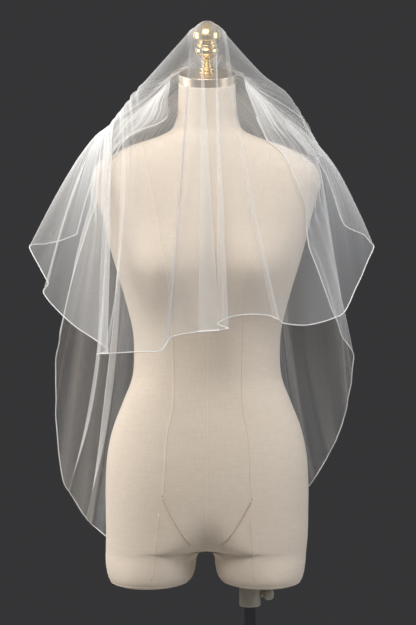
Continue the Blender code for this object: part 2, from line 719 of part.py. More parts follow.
front_grid = cloth_grid(
    FRONT_HEM, THROW_LINE, band_outer - FRONT_SEAM_IN, BAND_Z + BAND_TALL + FRONT_SEAM_UP,
    FRONT_STANDS, np.array(FRONT_DOWN), 2,
)
back_grid = cloth_grid(
    BACK_HEM, REST_LINE, band_outer + BACK_SEAM_OUT, BAND_Z + BACK_SEAM_UP, (0, 0),
    np.array(BACK_DOWN), 2,
)
for grid, tree, distance in (
    (front_grid, form_tree, CLEAR), (front_grid, finial_tree, CLEAR_FINIAL),
    (front_grid, cap_tree, CLEAR_FINIAL), (back_grid, cap_tree, CLEAR_FINIAL),
    (back_grid, form_tree, CLEAR),
):
    clear_of(grid, tree, distance)
cloth("front_tier", front_grid, tulle)
cloth("back_tier", back_grid, tulle)
corded_edge("front_tier_edge", front_grid, CORD_FIRST, thread)
corded_edge("back_tier_edge", back_grid, CORD_FIRST, thread)
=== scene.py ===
# Looks of a bridal veil on a dress form: two tiers of white net gathered on a comb, the shorter
# one thrown forward over the form's brass finial.
# Metres, +Z up, the form faces -Y, and +X is to the right of the picture.

import math

import bmesh
import bpy
import numpy as np
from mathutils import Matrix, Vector
from mathutils.bvhtree import BVHTree


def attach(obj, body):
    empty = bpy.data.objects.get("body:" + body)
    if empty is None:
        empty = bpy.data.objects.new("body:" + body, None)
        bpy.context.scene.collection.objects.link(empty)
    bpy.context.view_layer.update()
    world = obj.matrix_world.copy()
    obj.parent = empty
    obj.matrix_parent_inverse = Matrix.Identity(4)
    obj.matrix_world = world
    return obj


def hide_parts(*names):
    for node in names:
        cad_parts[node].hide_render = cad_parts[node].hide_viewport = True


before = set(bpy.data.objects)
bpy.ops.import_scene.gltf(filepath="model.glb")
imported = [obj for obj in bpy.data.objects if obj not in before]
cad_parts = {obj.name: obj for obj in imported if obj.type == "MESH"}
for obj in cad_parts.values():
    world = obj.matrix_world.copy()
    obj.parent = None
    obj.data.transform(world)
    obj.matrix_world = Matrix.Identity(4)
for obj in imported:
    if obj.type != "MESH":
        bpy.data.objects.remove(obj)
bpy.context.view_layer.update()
mm = 0.001
rng = np.random.default_rng(11)


# Camera, at the photograph's angle

cameraLook = dict(place=(0.0, -3.2, 1.27), aim=(0.0016, 0.0, 1.15), lens=113.8, film=36.0)


def makeCamera():
    data = bpy.data.cameras.new("photoCamera")
    data.sensor_width = cameraLook["film"]
    data.lens = cameraLook["lens"]
    data.clip_end = 60
    camera = bpy.data.objects.new("photoCamera", data)
    bpy.context.scene.collection.objects.link(camera)
    place, aim = Vector(cameraLook["place"]), Vector(cameraLook["aim"])
    camera.location = place
    camera.rotation_euler = (aim - place).to_track_quat("-Z", "Y").to_euler()
    bpy.context.scene.camera = camera


makeCamera()
print("camera set")


# Curves and grids


def curveThrough(stations, keys, at):
    # Cubic Hermite curve through keys at uneven stations, its slopes weighted by the spacing
    stations, at = np.asarray(stations, float), np.asarray(at, float)
    step = np.diff(stations)
    extra = (1,) * (keys.ndim - 1)
    rise = np.diff(keys, axis=0) / step.reshape(-1, *extra)
    before, after = step[:-1].reshape(-1, *extra), step[1:].reshape(-1, *extra)
    inner = (rise[:-1] * after + rise[1:] * before) / (before + after)
    slope = np.concatenate([rise[:1], inner, rise[-1:]])
    i = np.clip(np.searchsorted(stations, at, side="right") - 1, 0, len(step) - 1)
    wide = step[i].reshape(-1, *extra)
    t = ((at - stations[i]) / step[i]).reshape(-1, *extra)
    ease = t * t * (3 - 2 * t)
    lead = t * (1 - t) ** 2 * wide
    trail = t * t * (t - 1) * wide
    return keys[i] * (1 - ease) + keys[i + 1] * ease + slope[i] * lead + slope[i + 1] * trail


def softStep(x):
    # 3x^2 - 2x^3 between 0 and 1
    x = np.clip(x, 0, 1)
    return x * x * (3 - 2 * x)


def unit(v):
    return v / np.maximum(np.linalg.norm(v, axis=-1, keepdims=True), 1e-12)


def gridNormals(grid):
    # Down direction cross across direction, at each point of a grid [down, across]
    return unit(np.cross(np.gradient(grid, axis=0), np.gradient(grid, axis=1)))


def gridFaces(rows, columns, wrap=False):
    # Four corners of each cell, with the last column joined to the first if it wraps
    index = np.arange(rows * columns).reshape(rows, columns)
    if wrap:
        index = np.concatenate([index, index[:, :1]], 1)
    return np.stack([index[:-1, :-1], index[1:, :-1], index[1:, 1:], index[:-1, 1:]], -1).reshape(-1, 4)


def meshPiece(name, points, faces, finish, uv=None, values=None, smooth=True):
    mesh = bpy.data.meshes.new(name)
    mesh.vertices.add(len(points))
    mesh.vertices.foreach_set("co", np.asarray(points, np.float32).ravel())
    mesh.loops.add(faces.size)
    mesh.loops.foreach_set("vertex_index", faces.astype(np.int32).ravel())
    mesh.polygons.add(len(faces))
    mesh.polygons.foreach_set("loop_start", np.arange(0, faces.size, faces.shape[1], dtype=np.int32))
    if uv is not None:
        layer = mesh.uv_layers.new(name="cut")
        layer.uv.foreach_set("vector", np.asarray(uv, np.float32)[faces.ravel()].ravel())
    for key, data in (values or {}).items():
        field = mesh.attributes.new(key, "FLOAT", "POINT")
        field.data.foreach_set("value", np.asarray(data, np.float32).ravel())
    mesh.update(calc_edges=True)
    mesh.validate()
    if smooth:
        mesh.shade_smooth()
    piece = bpy.data.objects.new(name, mesh)
    bpy.context.scene.collection.objects.link(piece)
    if finish:
        mesh.materials.append(finish)
    return piece


def weld(piece, distance=1e-6):
    # Merges doubles and turns all faces outwards
    work = bmesh.new()
    work.from_mesh(piece.data)
    bmesh.ops.remove_doubles(work, verts=work.verts, dist=distance)
    bmesh.ops.dissolve_degenerate(work, edges=work.edges, dist=distance)
    bmesh.ops.recalc_face_normals(work, faces=work.faces)
    work.to_mesh(piece.data)
    work.free()


def pointsNow(piece):
    # The piece's points with its modifiers, as one array
    bpy.context.view_layer.update()
    mesh = piece.evaluated_get(bpy.context.evaluated_depsgraph_get()).to_mesh()
    points = np.empty(len(mesh.vertices) * 3, np.float32)
    mesh.vertices.foreach_get("co", points)
    return points.reshape(-1, 3).astype(float)


def rope(name, path, radius, side, finish, around=10, stretch=1.0, ends=True):
    # An oval profile carried along a path: path + radius (cos a side + stretch sin a up), up = tangent x side
    tangent = unit(np.gradient(path, axis=0))
    side = unit(side - (side * tangent).sum(1, keepdims=True) * tangent)
    up = np.cross(tangent, side)
    a = np.linspace(0, 2 * math.pi, around, endpoint=False)
    radii = np.broadcast_to(np.asarray(radius, float), (len(path),))[:, None, None]
    ring = np.cos(a)[None, :, None] * side[:, None] + stretch * np.sin(a)[None, :, None] * up[:, None]
    grid = path[:, None] + radii * ring
    if ends:
        grid = np.concatenate([grid[:1] * 0 + path[0], grid, grid[:1] * 0 + path[-1]])
    along = np.concatenate([[0], np.cumsum(np.linalg.norm(np.diff(path, axis=0), axis=1))])
    if ends:
        along = np.concatenate([along[:1], along, along[-1:]])
    uv = np.stack(np.broadcast_arrays(along[:, None], a[None, :] / (2 * math.pi)), -1).reshape(-1, 2)
    piece = meshPiece(name, grid.reshape(-1, 3), gridFaces(len(grid), around, True), finish, uv)
    weld(piece)
    return piece


def turned(name, profile, finish, place=None, around=64):
    # A profile of height and radius carried round the axis: (r cos a, r sin a, z)
    a = np.linspace(0, 2 * math.pi, around, endpoint=False)
    z, r = np.asarray(profile, float).T
    grid = np.stack([r[:, None] * np.cos(a), r[:, None] * np.sin(a), z[:, None] + 0 * a], -1)
    points = grid.reshape(-1, 3)
    if place is not None:
        points = place(points)
    piece = meshPiece(name, points, gridFaces(len(z), around, True), finish)
    weld(piece)
    return piece


def roundedProfile(rows, per=8):
    # A smooth profile through the table's rows, sampled evenly along its own length
    keys = np.asarray(rows, float)
    along = np.concatenate([[0], np.cumsum(np.linalg.norm(np.diff(keys, axis=0), axis=1))])
    fine = curveThrough(along, keys, np.linspace(0, along[-1], len(rows) * per))
    fine[:, 1] = np.maximum(fine[:, 1], 0)
    return fine


# Node helpers and shared effects


def addNode(tree, kind, values=None, **settings):
    node = tree.nodes.new(kind)
    for key, value in settings.items():
        setattr(node, key, value)
    for key, value in (values or {}).items():
        node.inputs[key].default_value = value
    return node


def wire(tree, source, target):
    tree.links.new(source, target)


def mathNode(tree, operation, first, second=None, clamp=False):
    node = addNode(tree, "ShaderNodeMath", operation=operation, use_clamp=clamp)
    for slot, value in enumerate((first, second)):
        if value is None:
            continue
        if isinstance(value, (int, float)):
            node.inputs[slot].default_value = value
        else:
            wire(tree, value, node.inputs[slot])
    return node.outputs[0]


def newGroup(name, inputs, outputs):
    group = bpy.data.node_groups.new(name, "ShaderNodeTree")
    for title, kind, value in inputs:
        socket = group.interface.new_socket(title, in_out="INPUT", socket_type=kind)
        if value is not None:
            socket.default_value = value
    for title, kind in outputs:
        group.interface.new_socket(title, in_out="OUTPUT", socket_type=kind)
    return group, addNode(group, "NodeGroupInput").outputs, addNode(group, "NodeGroupOutput").inputs


def makeNetGroup():
    # Hexagonal net: the sum of three waves 60 degrees apart, bright along the threads
    group, given, result = newGroup(
        "hexagonalNet",
        [("Cut", "NodeSocketVector", None), ("Cell", "NodeSocketFloat", 0.0016), ("Contrast", "NodeSocketFloat", 0.5)],
        [("Threads", "NodeSocketFloat")],
    )
    total = None
    for turn in (0, 60, 120):
        a = math.radians(turn)
        dot = addNode(group, "ShaderNodeVectorMath", {1: (math.cos(a), math.sin(a), 0)}, operation="DOT_PRODUCT")
        wire(group, given["Cut"], dot.inputs[0])
        phase = mathNode(group, "DIVIDE", dot.outputs["Value"], given["Cell"])
        wave = mathNode(group, "COSINE", mathNode(group, "MULTIPLY", phase, 2 * math.pi))
        total = wave if total is None else mathNode(group, "ADD", total, wave)
    # The sum runs from -1.5 to 3 with a mean of 0, so threads stay near 1 on average
    spread = mathNode(group, "MULTIPLY", total, mathNode(group, "MULTIPLY", given["Contrast"], -0.6))
    wire(group, mathNode(group, "ADD", spread, 1.0), result["Threads"])
    return group


def makeWeaveGroup():
    # Linen: fine warp and weft waves with stretched noise for slubs, on the surface's own metres
    group, given, result = newGroup(
        "linenWeave",
        [("Surface", "NodeSocketVector", None), ("Pitch", "NodeSocketFloat", 0.0011), ("Slub", "NodeSocketFloat", 0.6)],
        [("Tone", "NodeSocketFloat"), ("Height", "NodeSocketFloat")],
    )
    streaks = []
    for stretch, seed in (((46, 560, 0), 1.3), ((620, 60, 0), 4.1)):
        scaled = addNode(group, "ShaderNodeVectorMath", {1: stretch}, operation="MULTIPLY")
        wire(group, given["Surface"], scaled.inputs[0])
        noise = addNode(
            group, "ShaderNodeTexNoise", {"Scale": 1.0, "Detail": 3.0, "Roughness": 0.55, "W": seed}, noise_dimensions="4D"
        )
        wire(group, scaled.outputs[0], noise.inputs["Vector"])
        streaks.append(noise.outputs["Fac"])
    slubs = mathNode(group, "SUBTRACT", mathNode(group, "ADD", streaks[0], streaks[1]), 1.0)
    part = addNode(group, "ShaderNodeSeparateXYZ")
    wire(group, given["Surface"], part.inputs[0])
    waves = []
    for axis in (0, 1):
        phase = mathNode(group, "MULTIPLY", mathNode(group, "DIVIDE", part.outputs[axis], given["Pitch"]), 2 * math.pi)
        waves.append(mathNode(group, "SINE", phase))
    threads = mathNode(group, "MULTIPLY", waves[0], waves[1])
    tone = mathNode(group, "MULTIPLY", slubs, given["Slub"])
    wire(group, mathNode(group, "ADD", tone, 0.5, clamp=True), result["Tone"])
    wire(
        group,
        mathNode(group, "ADD", mathNode(group, "MULTIPLY", threads, 0.35), mathNode(group, "MULTIPLY", slubs, 1.2)),
        result["Height"],
    )
    return group


def makePolishGroup():
    # Cloudy polish: large soft noise for handling marks and fine noise for hairlines
    group, given, result = newGroup(
        "handledPolish",
        [("Place", "NodeSocketVector", None), ("Least", "NodeSocketFloat", 0.1), ("Most", "NodeSocketFloat", 0.3)],
        [("Roughness", "NodeSocketFloat"), ("Shade", "NodeSocketFloat")],
    )
    cloud = addNode(group, "ShaderNodeTexNoise", {"Scale": 38.0, "Detail": 4.0, "Roughness": 0.6})
    wire(group, given["Place"], cloud.inputs["Vector"])
    stretched = addNode(group, "ShaderNodeVectorMath", {1: (220, 220, 1800)}, operation="MULTIPLY")
    wire(group, given["Place"], stretched.inputs[0])
    hair = addNode(group, "ShaderNodeTexNoise", {"Scale": 1.0, "Detail": 2.0})
    wire(group, stretched.outputs[0], hair.inputs["Vector"])
    mixed = mathNode(
        group, "ADD", mathNode(group, "MULTIPLY", cloud.outputs["Fac"], 0.7), mathNode(group, "MULTIPLY", hair.outputs["Fac"], 0.3)
    )
    ranged = addNode(group, "ShaderNodeMapRange", {"From Min": 0.3, "From Max": 0.7})
    wire(group, mixed, ranged.inputs["Value"])
    wire(group, given["Least"], ranged.inputs["To Min"])
    wire(group, given["Most"], ranged.inputs["To Max"])
    wire(group, ranged.outputs["Result"], result["Roughness"])
    wire(group, mixed, result["Shade"])
    return group


netGroup = makeNetGroup()
weaveGroup = makeWeaveGroup()
polishGroup = makePolishGroup()


def newFinish(name, plain):
    # A material with its Principled shader's plain values set on the shader itself
    finish = bpy.data.materials.new(name)
    finish.use_nodes = True
    tree = finish.node_tree
    shader = tree.nodes["Principled BSDF"]
    for key, value in plain.items():
        shader.inputs[key].default_value = value
    return finish, tree, shader


def placed(tree, group, values):
    node = addNode(tree, "ShaderNodeGroup", node_tree=group)
    for key, value in values.items():
        node.inputs[key].default_value = value
    return node


def mixColour(tree, factor, first, second):
    node = addNode(tree, "ShaderNodeMix", data_type="RGBA")
    node.inputs["A"].default_value = (*first, 1)
    node.inputs["B"].default_value = (*second, 1)
    wire(tree, factor, node.inputs["Factor"])
    return node.outputs["Result"]


def metalFinish(name, dark, light, least, most, metallic=1.0):
    finish, tree, shader = newFinish(name, {"Metallic": metallic})
    place = addNode(tree, "ShaderNodeTexCoord")
    polish = placed(tree, polishGroup, {"Least": least, "Most": most})
    wire(tree, place.outputs["Object"], polish.inputs["Place"])
    wire(tree, polish.outputs["Roughness"], shader.inputs["Roughness"])
    wire(tree, mixColour(tree, polish.outputs["Shade"], dark, light), shader.inputs["Base Color"])
    return finish


def netFinish(name, look):
    # Coverage of crowded net seen at a slant: 1 - (1 - cover) ^ (crowding / cosine)
    finish, tree, shader = newFinish(name, {"Roughness": 0.62, "Specular IOR Level": 0.35})
    cut = addNode(tree, "ShaderNodeUVMap", uv_map="cut")
    net = placed(tree, netGroup, {"Cell": look["cell"], "Contrast": look["contrast"]})
    wire(tree, cut.outputs[0], net.inputs["Cut"])
    crowd = addNode(tree, "ShaderNodeAttribute", attribute_name="crowding")
    slant = addNode(tree, "ShaderNodeLayerWeight", {"Blend": 0.5})
    cosine = mathNode(tree, "MAXIMUM", mathNode(tree, "SUBTRACT", 1.0, slant.outputs["Facing"]), look["leastCosine"])
    layers = mathNode(tree, "DIVIDE", mathNode(tree, "MULTIPLY", crowd.outputs["Fac"], net.outputs["Threads"]), cosine)
    clear = mathNode(tree, "POWER", 1 - look["cover"], layers)
    wire(tree, mathNode(tree, "SUBTRACT", 1.0, clear, clamp=True), shader.inputs["Alpha"])
    wire(tree, mixColour(tree, net.outputs["Threads"], look["shade"], look["colour"]), shader.inputs["Base Color"])
    return finish


def threadFinish(name, colour, shade, pitch):
    # Wound thread: slanting waves round and along the cord, with painted shade: the colour darkens in the waves'
    # troughs, where the bump sinks
    finish, tree, shader = newFinish(name, {"Roughness": 0.55, "Sheen Weight": 0.15})
    cut = addNode(tree, "ShaderNodeUVMap", uv_map="cut")
    part = addNode(tree, "ShaderNodeSeparateXYZ")
    wire(tree, cut.outputs[0], part.inputs[0])
    phase = mathNode(tree, "ADD", mathNode(tree, "DIVIDE", part.outputs[0], pitch), part.outputs[1])
    wave = mathNode(tree, "SINE", mathNode(tree, "MULTIPLY", phase, 2 * math.pi))
    height = mathNode(tree, "ADD", mathNode(tree, "MULTIPLY", wave, 0.5), 0.5)
    wire(tree, mixColour(tree, height, shade, colour), shader.inputs["Base Color"])
    bump = addNode(tree, "ShaderNodeBump", {"Strength": 0.5, "Distance": 0.0003})
    wire(tree, height, bump.inputs["Height"])
    wire(tree, bump.outputs[0], shader.inputs["Normal"])
    return finish


def plasticFinish(name, dark, light):
    # Frosted plastic: cloudy roughness and tone
    finish, tree, shader = newFinish(name, {"Specular IOR Level": 0.45})
    place = addNode(tree, "ShaderNodeTexCoord")
    polish = placed(tree, polishGroup, {"Least": 0.28, "Most": 0.46})
    wire(tree, place.outputs["Object"], polish.inputs["Place"])
    wire(tree, polish.outputs["Roughness"], shader.inputs["Roughness"])
    wire(tree, mixColour(tree, polish.outputs["Shade"], dark, light), shader.inputs["Base Color"])
    return finish


def linenFinish(look):
    finish, tree, shader = newFinish("linen", {"Roughness": 0.88, "Sheen Weight": 0.12, "Specular IOR Level": 0.25})
    cut = addNode(tree, "ShaderNodeUVMap", uv_map="cut")
    weave = placed(tree, weaveGroup, {"Pitch": look["pitch"], "Slub": look["slub"]})
    wire(tree, cut.outputs[0], weave.inputs["Surface"])
    wire(tree, mixColour(tree, weave.outputs["Tone"], look["shade"], look["colour"]), shader.inputs["Base Color"])
    bump = addNode(tree, "ShaderNodeBump", {"Strength": 0.35, "Distance": 0.0004})
    wire(tree, weave.outputs["Height"], bump.inputs["Height"])
    wire(tree, bump.outputs[0], shader.inputs["Normal"])
    return finish


linenLook = dict(colour=(0.86, 0.755, 0.64), shade=(0.68, 0.58, 0.48), pitch=0.0013, slub=0.75)
netLook = dict(cover=0.10, cell=0.00115, contrast=0.35, leastCosine=0.20, colour=(0.95, 0.95, 0.95), shade=(0.90, 0.90, 0.90))

linen = linenFinish(linenLook)
nickel = metalFinish("nickel", (0.62, 0.51, 0.38), (0.80, 0.67, 0.52), 0.32, 0.46)
brass = metalFinish("brass", (0.66, 0.46, 0.17), (0.88, 0.70, 0.36), 0.18, 0.32)
chrome = metalFinish("chrome", (0.50, 0.50, 0.52), (0.66, 0.66, 0.68), 0.03, 0.07)
steel = metalFinish("brushedSteel", (0.50, 0.50, 0.51), (0.66, 0.66, 0.67), 0.25, 0.45)
greyMetal = metalFinish("greyMetal", (0.33, 0.31, 0.26), (0.44, 0.42, 0.36), 0.42, 0.58, 0.15)
net = netFinish("tulle", netLook)
cordThread = threadFinish("edgeThread", (0.95, 0.95, 0.95), (0.86, 0.86, 0.86), 0.0016)
ribbon = threadFinish("ribbonSatin", (0.93, 0.93, 0.92), (0.84, 0.84, 0.83), 0.0007)
combPlastic = plasticFinish("combPlastic", (0.80, 0.80, 0.78), (0.88, 0.88, 0.86))
# Leg-seam piping: the thread is real, but its dark brown colour is painted shade of the groove along the leg seams
legShadeThread = threadFinish("legPipingPaintedShade", (0.66, 0.54, 0.42), (0.52, 0.41, 0.31), 0.002)
seamThread = threadFinish("seamPiping", (0.88, 0.79, 0.68), (0.70, 0.60, 0.49), 0.002)


# Dress form: a stack of rings for the trunk, each half running on into a thigh

formLook = dict(
    # Height, half width, depth to the front and back, squareness, lean in degrees
    rings=[
        (1521, 46, 45, 47, 2.0, 15), (1488, 47, 45, 49, 2.0, 10), (1458, 51, 47, 52, 2.0, 5),
        (1443, 61, 50, 58, 2.0, 2), (1434, 80, 55, 65, 2.0, 0), (1420, 122, 64, 74, 2.1, 0),
        (1403, 155, 72, 81, 2.2, 0), (1386, 176, 79, 86, 2.3, 0), (1366, 183, 86, 90, 2.3, 0),
        (1335, 177, 95, 94, 2.3, 0), (1298, 167, 103, 97, 2.3, 0), (1260, 158, 107, 97, 2.3, 0),
        (1228, 149, 104, 95, 2.3, 0), (1196, 139, 97, 91, 2.2, 0), (1160, 129, 91, 86, 2.2, 0),
        (1120, 120, 86, 82, 2.2, 0), (1082, 118, 84, 82, 2.2, 0), (1045, 121, 86, 88, 2.2, 0),
        (1005, 136, 90, 97, 2.3, 0), (960, 153, 95, 109, 2.3, 0), (915, 162, 98, 118, 2.3, 0),
        (872, 164.5, 98, 121, 2.3, 0), (830, 164.5, 95, 117, 2.3, 0), (800, 164, 92.3, 113.5, 2.3, 0),
        (778, 163.5, 90.2, 110.5, 2.3, 0), (766, 163, 89, 109, 2.3, 0),
    ],
    # Height, inner and outer side, depth to the front and back of one thigh
    thigh=[
        (766, 14, 163, 79, 96.6), (750, 15, 162.5, 77.6, 94.5), (738, 16.2, 161, 76.4, 93), (728, 18.5, 159.6, 75.2, 91.3),
        (720, 22, 157.5, 73.5, 89), (714.5, 27, 154.5, 70.8, 85.6), (711, 34, 150.5, 67.2, 81), (709, 43, 144, 62, 74.5),
    ],
    bustX=77, bustZ=1218, bustForward=25, bustWide=56, bustHigh=54,
    crotch=766, underside=75, cleft=0.62, rounding=18, easing=48, middleWide=25, split=138, gapAside=2.4, slopeEase=10, slopeMost=0.2,
)


def power(value, exponent):
    return np.sign(value) * np.abs(value) ** exponent


def trunkHalf(z, angle, side):
    # Half a superellipse ring at each height, from front middle (angle 0) to back middle (pi),
    # with two soft cups for the bust and a valley that rounds under between the thighs
    rows = np.array(formLook["rings"], float)[::-1]
    half, front, back, square, lean = curveThrough(rows[:, 0], rows[:, 1:], z).T[:, :, None]
    s, c = np.sin(angle)[None], np.cos(angle)[None]
    x = half * power(s, 2 / square)
    y = np.where(c > 0, -front, -back) * power(c, 2 / square)
    up = (z[:, None] - formLook["crotch"]) / formLook["underside"]
    under = 1 - np.sqrt(np.clip(1 - np.clip(1 - up, 0, 1) ** 2, 0, 1))
    y = y * (1 - formLook["cleft"] * under * np.exp(-((x / (22 + 24 * under)) ** 2)))
    cup = np.exp(-(((x - formLook["bustX"]) / formLook["bustWide"]) ** 2) - ((z[:, None] - formLook["bustZ"]) / formLook["bustHigh"]) ** 2)
    y = y - formLook["bustForward"] * cup * (c > 0)
    tilted = z[:, None] + y * np.tan(np.radians(lean))
    return np.stack([side * x, y, tilted], -1)


def thighLoop(z, angle, side):
    # A closed oval about the thigh's own middle, angle 90 degrees at the front, 0 outside
    rows = np.array(formLook["thigh"], float)[::-1]
    inner, outer, front, back = curveThrough(rows[:, 0], rows[:, 1:], z).T[:, :, None]
    middle, half = (inner + outer) / 2, (outer - inner) / 2
    s, c = np.sin(angle)[None], np.cos(angle)[None]
    x = middle + half * power(c, 2 / 2.05)
    y = np.where(s > 0, -front, -back) * power(s, 2 / 2.05)
    return np.stack([side * x, y, np.broadcast_to(z[:, None], x.shape)], -1)


def makeForm():
    # The trunk's lowest ring runs on into each thigh: fast by the middle, so that the cloth rounds
    # under between the thighs, and slowly at the sides, where the thigh goes straight on down
    k = formLook
    outerSteps, innerSteps, split = 97, 25, math.radians(k["split"])
    around = np.linspace(0, math.pi, outerSteps)
    trunkZ = np.concatenate([np.linspace(1521, 1440, 28), np.linspace(1437, 1380, 24), np.linspace(1376, 812, 110), np.linspace(809, k["crotch"], 24)])
    turn = 1 - np.cos(np.linspace(0, math.pi / 2, 9)[1:])
    low = np.linspace(k["crotch"] - k["rounding"] - 3, 722, 9)
    thighZ = np.concatenate([k["crotch"] - turn * k["rounding"], low, [719.5, 717.5, 715.5, 714, 712.8, 711.8, 711, 710.3, 709.8, 709.3, 709]])
    outerAngle = np.linspace(split, -split, outerSteps)
    innerAngle = np.linspace(-split, -2 * math.pi + split, innerSteps)
    drop = (0, 0, 1) * (thighZ - k["crotch"])[:, None, None]
    down = np.clip((k["crotch"] - thighZ) / k["rounding"], 0, 1)
    quick = np.sqrt(1 - (1 - down) ** 2)[:, None, None]
    slow = softStep((k["crotch"] - thighZ) / k["easing"])[:, None, None]
    meshes, offset = [], 0
    for side in (-1, 1):
        trunk = trunkHalf(trunkZ, around, side)
        middle = np.exp(-((trunk[-1, :, 0] / k["middleWide"]) ** 2))[None, :, None]
        slope = np.clip((trunk[-1:] - trunk[-2:-1]) / (trunkZ[-2] - trunkZ[-1]), -k["slopeMost"], k["slopeMost"]) * (1, 1, 0)
        deeper = (k["crotch"] - thighZ)[:, None, None]
        onward = slope * k["slopeEase"] * (1 - np.exp(-deeper / k["slopeEase"])) * (1 - middle)
        grow = quick * middle + slow * (1 - middle)
        outer = (1 - grow) * (trunk[-1:] + drop + onward) + grow * thighLoop(thighZ, outerAngle, side)
        chord = np.linspace(trunk[-1, -1], trunk[-1, 0], innerSteps)
        inner = (1 - quick) * (chord[None] + drop) + quick * thighLoop(thighZ, innerAngle, side)
        centre = outer[-1].mean(0)
        caps = np.array([0.8, 0.5, 0.2, 0.0])[:, None, None]
        outer = np.concatenate([outer, centre + (outer[-1:] - centre) * caps])
        inner = np.concatenate([inner, centre + (inner[-1:] - centre) * caps])
        top = trunk[:1] * (0.02, 0.02, 1)
        for part in (np.concatenate([top, trunk, outer]), np.concatenate([chord[None], inner])):
            part[..., 0] -= k["gapAside"] * softStep((800 - part[..., 2]) / 60)
            faces = gridFaces(*part.shape[:2])
            if side > 0:
                faces = faces[:, ::-1]
            length = np.concatenate([np.zeros((len(part), 1)), np.cumsum(np.linalg.norm(np.diff(part, axis=1), axis=2), axis=1)], 1)
            uv = np.stack([side * length, part[..., 2]], -1).reshape(-1, 2) * mm
            meshes.append((part.reshape(-1, 3) * mm, faces + offset, uv))
            offset += part.shape[0] * part.shape[1]
    points, faces, uv = (np.concatenate([m[i] for m in meshes]) for i in range(3))
    piece = meshPiece("linenForm", points, faces, linen, uv)
    weld(piece, 2e-5)
    return piece


form = makeForm()
print("dress form:", len(form.data.polygons), "faces")


# Seams of the form, in millimetres across and up, where sight lines from the camera's height
# through those points meet the linen

seamLook = dict(
    front=[
        ("centreFront", 0.6, [(0.8, 1500), (0.8, 1300), (0.8, 1050), (0, 900), (-1.5, 812), (-2, 771)]),
        ("leftPrincess", 0.9, [(-104, 1424), (-100, 1400), (-90, 1350), (-80, 1300), (-74, 1256), (-66, 1215), (-59, 1160), (-56.7, 1103), (-58.3, 982), (-64.8, 954), (-70.5, 875), (-73, 850)]),
        ("rightPrincess", 0.7, [(105, 1424), (101, 1400), (91, 1350), (81, 1300), (75, 1256), (67, 1215), (60, 1160), (58, 1103), (60, 982), (66, 954), (71, 875), (73, 845)]),
        ("leftLegSeam", 1.3, [(-73, 849), (-64, 829), (-48, 800), (-36, 782), (-27, 772)]),
        ("rightLegSeam", 1.3, [(72, 843), (62, 824), (46, 798), (33, 781), (23, 772)]),
        ("leftThighSeam", 0.7, [(-78, 822), (-82, 790), (-87, 750), (-91, 713)]),
        ("rightThighSeam", 0.7, [(69, 822), (72, 790), (75, 750), (78, 713)]),
    ],
    back=[
        ("centreBack", 0.4, [(0, 1500), (0, 1300), (0, 1050), (0, 900), (-1, 812), (-2, 775)]),
        ("leftBackPrincess", 0.5, [(-88, 1422), (-82, 1350), (-76, 1250), (-62, 1120), (-66, 1000), (-78, 900), (-84, 800), (-84, 716)]),
        ("rightBackPrincess", 0.5, [(88, 1422), (82, 1350), (76, 1250), (62, 1120), (66, 1000), (78, 900), (84, 800), (80, 716)]),
    ],
    sideHigh=1395, sideLow=716, plateHigh=713.2, height=1.27, away=3.2, sunk=0.1,
)


def linenTree():
    points = np.array([v.co for v in form.data.vertices])
    return BVHTree.FromPolygons([Vector(p) for p in points], [tuple(f.vertices) for f in form.data.polygons])


def sewSeam(name, starts, aims, radius, tree):
    hits = [tree.ray_cast(Vector(a), Vector(b) - Vector(a)) for a, b in zip(starts, aims)]
    spots = np.array([tuple(h[0]) + tuple(h[1]) for h in hits if h[0] is not None])
    path, out = spots[:, :3], spots[:, 3:]
    # Leg seams take the darker piping, whose colour paints the shade in their groove
    rope(name, path - out * seamLook["sunk"] * mm, radius * mm, out, legShadeThread if "Leg" in name else seamThread, 8)


def makeSeams():
    tree = linenTree()
    names = []
    for rows, sign in ((seamLook["front"], -1), (seamLook["back"], 1)):
        for name, radius, keys in rows:
            keys = np.array(keys, float)
            along = np.concatenate([[0], np.cumsum(np.linalg.norm(np.diff(keys, axis=0), axis=1))])
            fine = curveThrough(along, keys, np.linspace(0, along[-1], int(along[-1] / 4))) * mm
            aims = np.stack([fine[:, 0], 0 * fine[:, 0], fine[:, 1]], 1)
            starts = aims * 0 + (0, sign * seamLook["away"], seamLook["height"])
            sewSeam(name, starts, aims, radius, tree)
            names.append(name)
    for name, sign in (("leftSideSeam", -1), ("rightSideSeam", 1)):
        z = np.linspace(seamLook["sideHigh"], seamLook["sideLow"], 180) * mm
        starts = np.stack([0 * z + sign * 0.5, 0 * z + 0.002, z], 1)
        sewSeam(name, starts, starts * (0, 1, 1), 0.5, tree)
        names.append(name)
    for name, side in (("leftPlateSeam", -1), ("rightPlateSeam", 1)):
        angle = np.linspace(0, 2 * math.pi, 160)
        loop = thighLoop(np.array([seamLook["plateHigh"]]), angle, side)[0] - (formLook["gapAside"], 0, 0)
        out = unit((loop - loop[:-1].mean(0)) * (1, 1, 0))
        rope(name, (loop + out * 0.1) * mm, 0.55 * mm, out, seamThread, 8)
        names.append(name)
    return names


seamNames = makeSeams()
print("seams:", len(seamNames))


# Neck cap and finial, leaning forward with the neck

